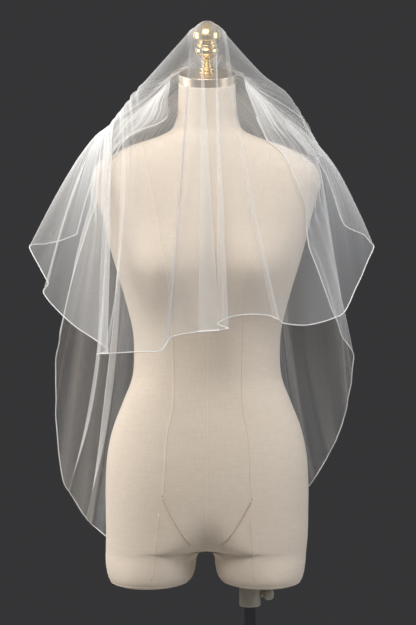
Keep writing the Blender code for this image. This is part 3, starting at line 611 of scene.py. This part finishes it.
neckLook = dict(top=1.521, lean=math.radians(17), gap=0.0003, capRadius=45.5, capTall=15.5, finialLong=1.045, finialWide=0.96)
finialLook = dict(
    # Height up the finial's own axis and radius, from the cap up
    profile=[
        (0, 0), (0, 12.2), (0.5, 13.2), (1.6, 13.6), (2.6, 13.0), (3.4, 11.0), (4.4, 10.4), (5.4, 11.6), (6.8, 12.6), (8.2, 12.3), (9.3, 10.8),
        (10.4, 8.9), (11.4, 8.5), (12.6, 9.3), (13.8, 9.5), (14.9, 8.6), (15.9, 7.6), (16.9, 8.1), (18.0, 8.5), (19.1, 7.8), (20.2, 7.0),
        (21.6, 7.4), (23.2, 9.0), (24.8, 11.4), (26.6, 13.9), (28.8, 16.4), (31.4, 18.5), (34.2, 19.7), (37.0, 19.9), (39.6, 19.0),
        (41.4, 17.2), (42.4, 16.3), (43.4, 16.9), (44.8, 17.8), (46.2, 17.3), (47.3, 15.4), (48.3, 14.2), (49.8, 13.9), (51.2, 14.6),
        (52.2, 17.4), (53.2, 20.6), (54.6, 22.6), (56.4, 23.3), (58.6, 23.4), (60.8, 23.2), (62.8, 22.9), (65.6, 21.7), (68.6, 19.6),
        (71.6, 16.7), (74.4, 13.0), (76.8, 9.0), (78.4, 5.6), (79.4, 2.4), (79.8, 0),
    ],
)


def onNeck(along):
    # Turns points by the neck's lean about X and lifts them to its top
    c, s = math.cos(neckLook["lean"]), math.sin(neckLook["lean"])

    def place(points):
        x, y, z = points[:, 0], points[:, 1], points[:, 2] + along
        return np.stack([x, c * y - s * z, neckLook["top"] + s * y + c * z], 1)

    return place


def makeNeckHardware():
    r, tall = neckLook["capRadius"], neckLook["capTall"]
    rows = [(0, 0), (0, r - 0.6), (0.6, r), (1.0, r), (1.4, r), (tall - 1.9, r), (tall - 1.4, r), (tall - 0.5, r - 0.5), (tall, r - 1.6), (tall + 0.25, r - 8), (tall + 0.3, 14), (tall + 0.3, 0)]
    cap = turned("neckCap", np.array(rows) * mm, nickel, onNeck(neckLook["gap"]), 96)
    sizes = (neckLook["finialLong"] * mm, neckLook["finialWide"] * mm)
    profile = roundedProfile(np.array(finialLook["profile"]) * sizes, 5)
    finial = turned("brassFinial", profile, brass, onNeck(2 * neckLook["gap"] + tall * mm), 72)
    return cap, finial


neckCap, finial = makeNeckHardware()
print("neck cap and finial")


# Pole, collar with its thumb screw, flange and base

standLook = dict(poleX=0.070, poleRadius=0.0093, collarRadius=0.0173, collarTall=0.037, bore=0.0100,
                 formBottom=0.709, baseRadius=0.170, baseThick=0.008, poleInside=0.060, gap=0.0003)


def makeStand():
    k = standLook
    beside = lambda points: points + (k["poleX"], 0, 0)
    base = [(0, 0), (0, 0.169), (0.0006, 0.170), (0.0052, 0.170), (0.0068, 0.1690), (0.0078, 0.1668), (0.008, 0.164), (0.008, 0)]
    turned("basePlate", base, steel, None, 128)
    seat = k["baseThick"] + k["gap"]
    bore, top = k["bore"], k["formBottom"] - k["gap"]
    flange = [(0, bore), (0, 0.0306), (0.0008, 0.031), (0.0042, 0.031), (0.0052, 0.0300), (0.0068, 0.0210), (0.0082, 0.0172),
              (0.0205, 0.0142), (0.0216, 0.0136), (0.022, 0.0126), (0.022, bore), (0, bore)]
    turned("poleFlange", [(z + seat, r) for z, r in flange], steel, beside, 64)
    high = k["formBottom"] + k["poleInside"]
    thick, edge = k["poleRadius"], 0.0004
    pole = [(seat, 0), (seat, thick - edge), (seat + edge, thick), (seat + 3 * edge, thick), (high - 3 * edge, thick), (high - edge, thick), (high, thick - edge), (high, 0)]
    turned("chromePole", pole, chrome, beside, 48)
    r, low = k["collarRadius"], top - k["collarTall"]
    collar = [(low, bore), (low, r - 0.0022), (low + 0.0008, r - 0.0008), (low + 0.0022, r), (low + 0.003, r), (top - 0.002, r), (top - 0.0012, r), (top - 0.0003, r - 0.0004),
              (top, r - 0.0012), (top, bore), (low, bore)]
    turned("poleCollar", collar, greyMetal, beside, 64)
    knob = roundedProfile([(0, 0), (0, 0.0042), (0.0046, 0.0044), (0.0056, 0.0062), (0.0084, 0.0084), (0.0118, 0.0091), (0.0152, 0.0088),
                           (0.0186, 0.0076), (0.0206, 0.0054), (0.0214, 0.0026), (0.0216, 0)], 5)
    middle = top - k["collarTall"] / 2

    def sideways(points):
        return np.stack([points[:, 2] + k["poleX"] + r + k["gap"], points[:, 1], middle - points[:, 0]], 1)

    turned("thumbScrew", knob, greyMetal, sideways, 40)


makeStand()
print("stand")


# The two tiers of net

columns = ("x", "y", "z", "station", "flare", "fill", "bow")
overColumns = ("station", "x", "y", "z", "share", "lift")
combLook = dict(radius=0.0493, halfAngle=math.radians(56), bandZ=1.519, bandTall=0.010)
bandOuter = combLook["radius"] + 0.0014 + 0.00042 + 0.0032

combPiece = dict(thick=1.4, back=8.0, rooted=4.0, low=26.0, teeth=19, root=0.8, tip=0.4, sunk=0.05)
bandPiece = dict(thick=3.2, tall=10.0, gathers=46, puff=0.10)


def arcPath(radius, height, half, steps=140):
    # A level arc behind the neck, and its outward directions
    a = np.linspace(-half, half, steps)
    out = np.stack([np.sin(a), np.cos(a), 0 * a], 1)
    return out * radius + (0, 0, height), out, a


def makeComb():
    # A rounded bar along the arc, with a tapered tooth at each of its even places
    k = combPiece
    middle = combLook["radius"] + k["thick"] * mm / 2
    path, out, _ = arcPath(middle, combLook["bandZ"] + k["back"] * mm / 2, combLook["halfAngle"])
    bar = rope("hairComb", path, (k["thick"] / 2 - k["sunk"]) * mm, out, combPlastic, 12, k["back"] / k["thick"])
    a = np.linspace(-0.97, 0.97, k["teeth"])[:, None, None] * combLook["halfAngle"]
    t = np.linspace(0, 1, 14)[None, :, None]
    round_ = np.linspace(0, 2 * math.pi, 8, endpoint=False)[None, None]
    wide = (k["root"] + (k["tip"] - k["root"]) * t) * np.sqrt(np.clip(1 - np.clip((t - 0.94) / 0.06, 0, 1) ** 2, 0, 1)) * mm
    r = middle + np.cos(round_) * (k["thick"] / 2 - 2 * k["sunk"]) * mm * np.minimum(wide / (k["tip"] * mm), 1)
    turn = a + np.sin(round_) * wide / middle
    z = combLook["bandZ"] + (k["rooted"] - (k["rooted"] + k["low"]) * t) * mm + 0 * turn
    teeth = np.stack([r * np.sin(turn), r * np.cos(turn), z], -1)
    rows, around = teeth.shape[1:3]
    faces = gridFaces(rows, around, True)
    faces = (faces[None] + (np.arange(k["teeth"]) * rows * around)[:, None, None]).reshape(-1, 4)
    uv = np.stack(np.broadcast_arrays(z, turn * middle), -1).reshape(-1, 2)
    prongs = meshPiece("combTeeth", teeth.reshape(-1, 3), faces, combPlastic, uv)
    closed = bmesh.new()
    closed.from_mesh(prongs.data)
    bmesh.ops.holes_fill(closed, edges=closed.edges, sides=around)
    closed.to_mesh(prongs.data)
    closed.free()
    weld(prongs)
    return bar


def makeBand():
    # The ribbon that holds the gathers: an oval along the arc that puffs out between its stitches
    k = bandPiece
    radius = bandOuter - k["thick"] * mm / 2
    path, out, a = arcPath(radius, combLook["bandZ"] + k["tall"] * mm / 2, combLook["halfAngle"] + 0.02, 420)
    puff = 1 - k["puff"] + k["puff"] * np.abs(np.sin(a / (2 * combLook["halfAngle"]) * math.pi * k["gathers"]))
    return rope("gatherBand", path, k["thick"] / 2 * mm * puff, out, ribbon, 14, k["tall"] / k["thick"])


makeComb()
makeBand()
print("comb and band")

frontTier = dict(
    # Line that the folds hang over, from the left: station, place, share of the comb, lift of the arch
    over=[
        (0, -150, 66, 1436, 0.00, 0), (1, -160, 38, 1444, 0.04, 2), (2, -166, 8, 1447, 0.08, 3),
        (3, -158, -14, 1449, 0.13, 4), (4, -137, -30, 1476, 0.20, 4), (5, -92, -24, 1530, 0.30, 4),
        (6, -46, -26, 1580, 0.40, 3), (7, -24, -28, 1604, 0.46, 2), (8, 0, -28, 1611, 0.50, 2),
        (9, 24, -28, 1605, 0.54, 2), (10, 69, -24, 1547, 0.62, 3), (11, 122, -20, 1510, 0.72, 4),
        (12, 150, -26, 1468, 0.80, 4), (13, 172, -12, 1430, 0.86, 4), (14, 184, 18, 1412, 0.92, 3),
        (15, 178, 46, 1412, 0.96, 2), (16, 168, 72, 1414, 1.00, 0),
    ],
    # Hem: place, station, flare, fill, and how far the fold bows sideways halfway down
    hem=[
        (-218, 112, 1277, 0.0, 0.6, 0.8, 0), (-244, 84, 1267, 0.7, 0.65, 0.8, 0), (-268, 50, 1261, 1.3, 0.7, 0.8, 0),
        (-288, 14, 1258, 2.0, 0.75, 0.8, 0), (-271, -16, 1227, 2.2, 0.7, 0.8, 0), (-254, -40, 1199, 2.35, 0.7, 0.75, 0),
        (-261, -58, 1186, 2.5, 0.7, 0.7, 0), (-238, -72, 1158, 2.7, 0.65, 0.65, 0), (-205, -88, 1130, 2.9, 0.6, 0.6, 0),
        (-170, -104, 1108, 3.15, 0.6, 0.6, 0), (-154, -112, 1095, 3.38, 0.7, 0.55, 0), (-161, -126, 1093, 3.62, 0.55, 0.5, 0),
        (-171, -138, 1091, 3.84, 0.5, 0.45, 0), (-162, -141, 1092, 3.96, 1.2, 0.45, 0), (-153, -142, 1093, 4.06, 2.6, 0.45, 0),
        (-159, -149, 1092, 4.2, 3.0, 0.45, 0), (-146, -151, 1093, 4.38, 1.8, 0.45, 0), (-114, -152, 1095, 4.8, 1.0, 0.45, 0),
        (-90, -157, 1096, 5.5, 1.0, 0.45, 0), (-76, -159, 1096, 6.3, 1.1, 0.46, 0), (-68, -160, 1101, 6.75, 1.3, 0.46, 0),
        (-62, -146, 1110, 6.9, 1.3, 0.46, 0), (-58, -136, 1116, 7.0, 1.2, 0.46, 0), (-48, -140, 1120, 7.2, 1.1, 0.46, 0),
        (-29, -149, 1124, 7.35, 1.0, 0.46, 0), (-5, -154, 1127, 7.5, 1.0, 0.46, 0), (12, -158, 1128, 7.58, 1.0, 0.46, 0),
        (19, -157, 1129, 7.6, 1.0, 0.46, 0), (8, -152, 1128.4, 7.63, 1.0, 0.46, 0), (-8, -148, 1127, 7.66, 1.0, 0.46, 0),
        (-13, -145, 1126.8, 7.68, 1.0, 0.46, 0), (2, -142, 1128, 7.72, 1.0, 0.46, 0), (18, -148, 1129, 8.1, 1.0, 0.46, 0),
        (28, -160, 1131, 8.5, 1.0, 0.46, 0), (33, -158, 1132, 8.6, 1.0, 0.46, 0), (24, -150, 1135, 8.62, 1.0, 0.46, 0),
        (17, -143, 1139, 8.64, 1.0, 0.46, 0), (37, -140, 1149, 8.7, 1.0, 0.46, 0), (70, -142, 1153, 8.8, 1.0, 0.46, 0),
        (96, -142, 1151, 8.93, 1.0, 0.46, -4), (104, -149, 1148, 9.03, 1.05, 0.46, -6), (108, -152, 1146, 9.1, 1.05, 0.46, -6),
        (112, -147, 1144, 9.17, 1.05, 0.46, -5), (120, -146, 1139, 9.35, 1.0, 0.46, -3), (150, -144, 1136, 10.4, 0.95, 0.5, 0),
        (178, -124, 1140, 11.2, 0.85, 0.55, 0), (203, -98, 1147, 12.0, 0.75, 0.6, 0), (218, -74, 1155, 12.5, 0.75, 0.65, 0),
        (236, -52, 1188, 12.9, 0.75, 0.7, 0), (252, -28, 1221, 13.3, 0.75, 0.75, 0), (269, 2, 1254, 13.8, 0.75, 0.8, 0),
        (268, 32, 1264, 14.3, 0.7, 0.8, 0), (256, 62, 1277, 14.9, 0.65, 0.8, 0), (231, 92, 1291, 15.5, 0.6, 0.8, 0),
        (222, 108, 1311, 16.0, 0.6, 0.8, 0),
    ],
    down=[0, 0.02, 0.05, 0.095, 0.14, 0.18, 0.21, 0.235, 0.265, 0.31, 0.38, 0.46, 0.54, 0.62, 0.71, 0.80, 0.90, 1],
    seamOut=-1.6, seamUp=10.6, stands=(4, 13), cut=(1.50, 0.62), oval=(0.70, 0.83), ovalArea=0.456, rows=150, perFold=11,
    ripple=1.0, pleat=0.021, gather=0.75, reach=0.75, calm=8.0, calmWide=2.3, crush=2.4, crushTo=0.22, soft=0.1,
    haze=(3.5, 1.2, 1.0), bands=[(3.1, 0.5, 1.3), (6.95, 0.16, 1.3), (7.5, 0.22, 0.5), (8.5, 0.14, 0.5), (9.08, 0.11, 1.2)], seed=3,
)

backTier = dict(
    over=[
        (0, -78, -32, 1452, 0.00, 8), (1, -118, -22, 1441, 0.06, 14), (2, -164, 10, 1421, 0.13, 14),
        (3, -156, 52, 1416, 0.21, 10), (4, -114, 84, 1418, 0.30, 6), (5, -56, 102, 1418, 0.40, 4),
        (6, 0, 107, 1418, 0.50, 4), (7, 56, 102, 1418, 0.60, 4), (8, 114, 84, 1418, 0.70, 6),
        (9, 156, 52, 1412, 0.79, 10), (10, 176, 16, 1408, 0.87, 14), (11, 132, -20, 1436, 0.94, 16),
        (12, 84, -34, 1452, 1.00, 8),
    ],
    hem=[
        (-235, -24, 1119, 0.0, 0.45, 1.0, 0), (-243, 0, 1089, 0.5, 0.45, 1.0, 0), (-247, 18, 1030, 0.9, 0.5, 1.0, 0),
        (-247, 32, 975, 1.2, 0.6, 1.0, 0), (-245, 40, 930, 1.5, 0.75, 1.0, 0), (-241, 46, 893, 1.8, 0.95, 1.0, 0),
        (-236, 52, 866, 2.1, 1.3, 1.0, 0), (-230, 62, 853, 2.5, 3.4, 1.0, 0), (-229, 78, 848, 2.6, 2.4, 1.0, 0),
        (-217, 86, 827, 2.8, 2.0, 1.0, 0), (-209, 88, 813, 3.0, 2.0, 1.0, 0), (-202, 96, 803, 3.4, 3.2, 1.0, 0),
        (-201, 112, 796, 3.5, 1.6, 1.0, 0), (-194, 138, 784, 3.7, 1.7, 1.0, 0), (-176, 128, 771, 3.9, 1.6, 1.1, 0),
        (-150, 124, 757, 4.1, 1.4, 1.2, 0), (-124, 162, 750, 4.35, 1.3, 1.3, 0), (-94, 136, 746, 4.7, 1.2, 1.4, 0),
        (-64, 174, 746, 5.1, 1.1, 1.5, 0), (-32, 144, 750, 5.5, 1.0, 1.5, 0), (-2, 182, 755, 5.95, 1.0, 1.5, 0),
        (30, 148, 763, 6.4, 1.0, 1.5, 0), (60, 178, 774, 6.8, 1.0, 1.5, 0), (90, 140, 788, 7.2, 1.1, 1.4, 0),
        (120, 166, 805, 7.5, 1.2, 1.3, 0), (146, 124, 824, 7.75, 1.4, 1.2, 0), (168, 134, 846, 7.95, 2.0, 1.1, 0),
        (182, 98, 872, 8.15, 2.1, 1.0, 0), (202, 96, 906, 8.4, 2.0, 1.0, 0), (213, 64, 936, 9.0, 1.2, 1.0, 0),
        (226, 58, 972, 9.7, 0.8, 1.0, 0), (232, 34, 1012, 10.2, 0.65, 1.0, 0), (237, 16, 1048, 10.7, 0.6, 1.0, 0),
        (236, 2, 1080, 11.2, 0.6, 1.0, 0), (218, -18, 1116, 11.5, 0.7, 0.8, 0), (204, -32, 1146, 11.8, 0.8, 0.7, 0),
        (193, -40, 1173, 12.0, 0.9, 0.6, 0),
    ],
    down=[0, 0.03, 0.08, 0.13, 0.165, 0.195, 0.225, 0.255, 0.29, 0.34, 0.42, 0.50, 0.59, 0.68, 0.77, 0.86, 0.94, 1],
    seamOut=0.5, seamUp=8.5, stands=(5, 0), cut=(1.60, 0.76), oval=(1.05, 0.80), ovalArea=0.660, rows=150, perFold=15,
    ripple=1.3, pleat=0.023, gather=0.75, reach=0.60, calm=40.0, calmWide=1.0, crush=3.2, crushTo=0.30, soft=1.6,
    haze=(2.9, 0.7, 0.5), bands=[(2.0, 0.4, 1.6), (2.95, 0.4, 1.4), (3.6, 0.2, 1.2)], seed=8,
)
fallSteps = (0.05, 0.18, 0.36, 0.56, 0.78)


def column(rows, names, name):
    return np.array([row[names.index(name)] for row in rows], float)


def foldLines(tier):
    # Each fold from the seam up over its line and down to the hem. On the fall, a point at a
    # share t of the drop has gone t^flare of the way sideways, with bow sin(pi t) beside it, and
    # t^fill of the way forward
    hem = np.array([row[:3] for row in tier["hem"]], float) * mm
    stations, flare, fill, bow = (column(tier["hem"], columns, name) for name in ("station", "flare", "fill", "bow"))
    marks = column(tier["over"], overColumns, "station")
    overKeys = np.array([row[1:4] for row in tier["over"]], float) * mm
    over = curveThrough(marks, overKeys, stations)
    share, lift = (np.interp(stations, marks, column(tier["over"], overColumns, name)) for name in ("share", "lift"))
    rank = np.linspace(0, 1, len(share))
    share = share + rank * 0.25
    angle = (share / share[-1] * 2 - 1) * combLook["halfAngle"]
    radius = bandOuter + tier["seamOut"] * mm
    seam = np.stack([radius * np.sin(angle), radius * np.cos(angle), np.full_like(angle, combLook["bandZ"] + tier["seamUp"] * mm)], 1)
    low, high = tier["stands"]
    stand = (low + (high - low) * (1 - np.abs(rank * 2 - 1) ** 1.6)) * mm
    stood = seam + unit(seam * (1, 1, 0)) * 3 * mm + (0, 0, 1) * stand[:, None]
    rise = (stood + over) / 2 + (0, 0, 1) * (lift * mm)[:, None]
    beside = (1, 0, 0) * bow[:, None] * mm
    fall = [over + (hem - over) * np.stack([t**flare, t**fill, np.full(len(hem), t)], 1) + beside * math.sin(math.pi * t) for t in fallSteps]
    return np.stack([seam, stood, rise, over, *fall, hem])


def keptOff(grid, keepers, distances):
    # Moves a grid's points out of the solids, with Shrinkwrap, and gives them back
    probe = meshPiece("probe", grid.reshape(-1, 3), gridFaces(*grid.shape[:2]), None)
    for keeper, distance in zip(keepers, distances):
        wrap = probe.modifiers.new("stayOff", "SHRINKWRAP")
        wrap.target, wrap.offset = keeper, distance
        wrap.wrap_method, wrap.wrap_mode = "NEAREST_SURFACEPOINT", "OUTSIDE"
    moved = pointsNow(probe).reshape(grid.shape)
    bpy.data.objects.remove(probe)
    moved[0] = grid[0]
    return moved


def unevenWaves(at, count, longest, shortest, random):
    # A sum of cosines with random lengths and phases, scaled to about -1 to 1
    length = np.exp(random.uniform(math.log(shortest), math.log(longest), count))
    phase = random.uniform(0, 2 * math.pi, count)
    wave = np.cos(at[..., None] / length * 2 * math.pi + phase)
    return wave.sum(-1) / math.sqrt(count)


def tierGrid(tier, keepers, distances):
    lines = foldLines(tier)
    length = np.linalg.norm(np.diff(lines, axis=0), axis=2).mean(1)
    along = np.concatenate([[0], np.cumsum(length)])
    coarse = curveThrough(along, lines, along[-1] * np.array(tier["down"]))
    folds = np.arange(len(tier["hem"]))
    half = np.arange(0, len(folds) - 0.75, 0.5)
    coarse = curveThrough(folds, coarse.transpose(1, 0, 2), half).transpose(1, 0, 2)
    coarse = keptOff(coarse, keepers, distances)
    down = np.linspace(0, 1, tier["rows"])
    across = np.linspace(0, folds[-1], (len(folds) - 1) * tier["perFold"] + 1)
    grid = curveThrough(np.array(tier["down"]), coarse, down)
    grid = curveThrough(half, grid.transpose(1, 0, 2), across).transpose(1, 0, 2)
    # Where each point lies on the flat cut, in metres
    hemLength = np.concatenate([[0], np.cumsum(np.linalg.norm(np.diff(grid[-1], axis=0), axis=1))])
    wide, long = tier["cut"]
    flatX = np.broadcast_to(hemLength / hemLength[-1] * wide, grid.shape[:2])
    flatY = np.broadcast_to((down * long)[:, None], grid.shape[:2])
    # Gathers: cloth of pleat length L, crowded c times, stands L/4 sqrt(1 - 1/c^2) high, most by
    # the comb and least where the tier is stretched over the finial. Ripples grow to the hem
    random = np.random.default_rng(tier["seed"])
    sway = flatX + 0.02 * np.sin(flatY * 9 + 1.3)
    stations = np.interp(across, folds, column(tier["hem"], columns, "station"))[None, :]
    calm = np.exp(-(((stations - tier["calm"]) / tier["calmWide"]) ** 4)) * softStep((down[:, None] - 0.10) / 0.08)
    flatStep = np.gradient(flatX, axis=1)
    crowd = np.clip(flatStep / np.maximum(np.linalg.norm(np.gradient(grid, axis=1), axis=2), 1e-6), 1, 14)
    length = tier["pleat"]
    fans = unevenWaves(sway, 5, 1.5 * length, 0.75 * length, random)
    tall = np.minimum(length / 4 * np.sqrt(1 - 1 / crowd**2), 0.30 * length / crowd)
    fade = (1 - softStep(down[:, None] / tier["reach"])) * (1 - calm)
    size = tier["gather"] * fade * softStep(flatY / 0.02) * tall * fans
    ripples = unevenWaves(sway, 10, 0.16, 0.05, random) / np.maximum(crowd, 1)
    size = size + tier["ripple"] * mm * softStep((flatY - 0.1 * long) / (0.6 * long)) * (1 - 0.75 * calm) * ripples
    grid = grid + gridNormals(grid) * size[..., None]
    grid = keptOff(grid, keepers, [d * 0.6 for d in distances])
    # Crowding left over: how many times closer the threads lie than in the flat net
    realStep = np.linalg.norm(np.gradient(grid, axis=1), axis=2)
    crowding = np.clip(flatStep / np.maximum(realStep, 1e-6), 0.8, 14) ** (0.85 - 0.5 * calm)
    streak = 1 + 0.22 * fans * np.clip((crowding - 1) / 3, 0, 1)
    # The finest gathers are left to the net's density: by the comb, and in the haze of folds
    # over one shoulder
    aside = softStep(np.minimum(stations, stations[0, -1] - stations) / tier["soft"])
    crush = 1 + tier["crush"] * aside * (1 - softStep((down[:, None] - 0.06) / (tier["crushTo"] - 0.06))) * (1 - calm)
    place, wide, more = tier["haze"]
    haze = 1 + more * np.exp(-(((stations - place) / wide) ** 2)) * softStep((down[:, None] - 0.16) / 0.08) * (1 - 0.6 * softStep((down[:, None] - 0.4) / 0.4))
    crowding = np.clip(crowding * streak * crush * haze, 0.7, 20)
    thin = calm * (1 - softStep((down[:, None] - 0.34) / 0.3))
    crowding = crowding * (1 - thin) + np.minimum(crowding, 1.35) * thin
    for place, wide, more in tier["bands"]:
        crowding = crowding + more * np.exp(-(((stations - place) / wide) ** 2)) * softStep((down[:, None] - 0.12) / 0.1)
    return grid, np.stack([flatX, flatY], -1), crowding


def makeTier(name, tier, keepers, distances):
    grid, flat, crowding = tierGrid(tier, keepers, distances)
    piece = meshPiece(name, grid.reshape(-1, 3), gridFaces(*grid.shape[:2]), net, flat.reshape(-1, 2), {"crowding": crowding.reshape(-1)})
    return piece, grid


def makeEdge(name, grid, first):
    # A cord on the border: down one side, along the hem and up the other side
    border = np.concatenate([grid[first:, 0], grid[-1, 1:], grid[first:-1, -1][::-1]])
    inner = np.concatenate([grid[first:, 3], grid[-4, 1:], grid[first:-1, -4][::-1]])
    away = unit(border - inner)
    return rope(name, border + away * 0.5 * mm, 0.85 * mm, away, cordThread, 8)


frontPiece, frontGrid = makeTier("frontTier", frontTier, (form, finial, neckCap), (3 * mm, 1.7 * mm, 2.6 * mm))
print("front tier:", frontGrid.shape)
backPiece, backGrid = makeTier("backTier", backTier, (neckCap, form), (2.6 * mm, 3 * mm))
print("back tier:", backGrid.shape)
frontEdge = makeEdge("frontTierEdge", frontGrid, 34)
backEdge = makeEdge("backTierEdge", backGrid, 28)


# Light, floor and backdrop tone

lightLook = [
    # Name, place, aim, width, height, power, colour
    ("keyHigh", (-0.45, -1.6, 3.0), (0, 0, 1.35), 1.4, 1.1, 46, (1.0, 0.985, 0.96)),
    ("frontWall", (0.0, -4.9, 2.3), (0, 0, 1.6), 5.5, 2.8, 26, (1.0, 0.95, 0.87)),
    ("ceiling", (0.0, -0.4, 4.3), (0, 0, 1.4), 4.0, 4.0, 18, (1.0, 0.94, 0.85)),
    ("leftTall", (-2.25, 0.10, 1.75), (0, 0, 1.42), 1.05, 1.8, 42, (1.0, 0.98, 0.95)),
    ("rightTall", (2.15, -0.62, 1.75), (0, 0, 1.42), 1.2, 1.8, 26, (0.90, 0.94, 1.0)),
    ("backLeft", (-1.7, 1.9, 1.9), (0, 0, 1.35), 0.5, 2.2, 13, (0.92, 0.96, 1.0)),
    ("backRight", (1.8, 1.6, 1.9), (0, 0, 1.35), 0.5, 2.2, 6, (0.86, 0.92, 1.0)),
]


def makeLights():
    for name, place, aim, wide, tall, watts, colour in lightLook:
        data = bpy.data.lights.new(name, "AREA")
        data.shape, data.size, data.size_y = "RECTANGLE", wide, tall
        data.energy, data.color = watts, colour
        lamp = bpy.data.objects.new(name, data)
        lamp.location = place
        lamp.rotation_euler = (Vector(aim) - Vector(place)).to_track_quat("-Z", "Y").to_euler()
        bpy.context.scene.collection.objects.link(lamp)
    world = bpy.data.worlds.new("studio")
    world.use_nodes = True
    back = world.node_tree.nodes["Background"]
    back.inputs["Color"].default_value = (0.036, 0.036, 0.038, 1)
    back.inputs["Strength"].default_value = 1.0
    bpy.context.scene.world = world
    bpy.context.scene.view_settings.view_transform = "Standard"


def makeFloor():
    finish, tree, shader = newFinish("paleFloor", {"Roughness": 0.7})
    place = addNode(tree, "ShaderNodeTexCoord")
    noise = addNode(tree, "ShaderNodeTexNoise", {"Scale": 3.0, "Detail": 4.0})
    wire(tree, place.outputs["Object"], noise.inputs["Vector"])
    wire(tree, mixColour(tree, noise.outputs["Fac"], (0.43, 0.42, 0.41), (0.51, 0.50, 0.48)), shader.inputs["Base Color"])
    floor = turned("floor", [(-0.02, 0), (-0.02, 1.5), (0.0, 1.5), (0.0, 0)], finish, None, 96)


makeLights()
makeFloor()
print("light and floor")


# Each piece hangs from the root, and the CAD part it stands for is hidden

riding = {
    "linenForm": ("dress_form", "linen"), "neckCap": ("neck_cap", "nickel"), "brassFinial": ("finial", "brass"),
    "basePlate": ("base_plate", "steel"), "poleFlange": ("pole_flange", "steel"), "chromePole": ("pole", "chrome"),
    "poleCollar": ("pole_collar", "grey_metal"), "thumbScrew": ("clamp_screw", "grey_metal"),
    "frontTier": ("front_tier", "tulle"), "backTier": ("back_tier", "tulle"),
    "frontTierEdge": ("front_tier_edge", "edge_cord"), "backTierEdge": ("back_tier_edge", "edge_cord"),
    "hairComb": ("comb", "comb_plastic"), "combTeeth": ("comb", "comb_plastic"), "gatherBand": ("gather_band", "ribbon"),
}
for name in seamNames:
    riding[name] = ("dress_form", "linen")
for name, (node, slot) in riding.items():
    piece = bpy.data.objects[name]
    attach(piece, "root")
    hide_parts(node)
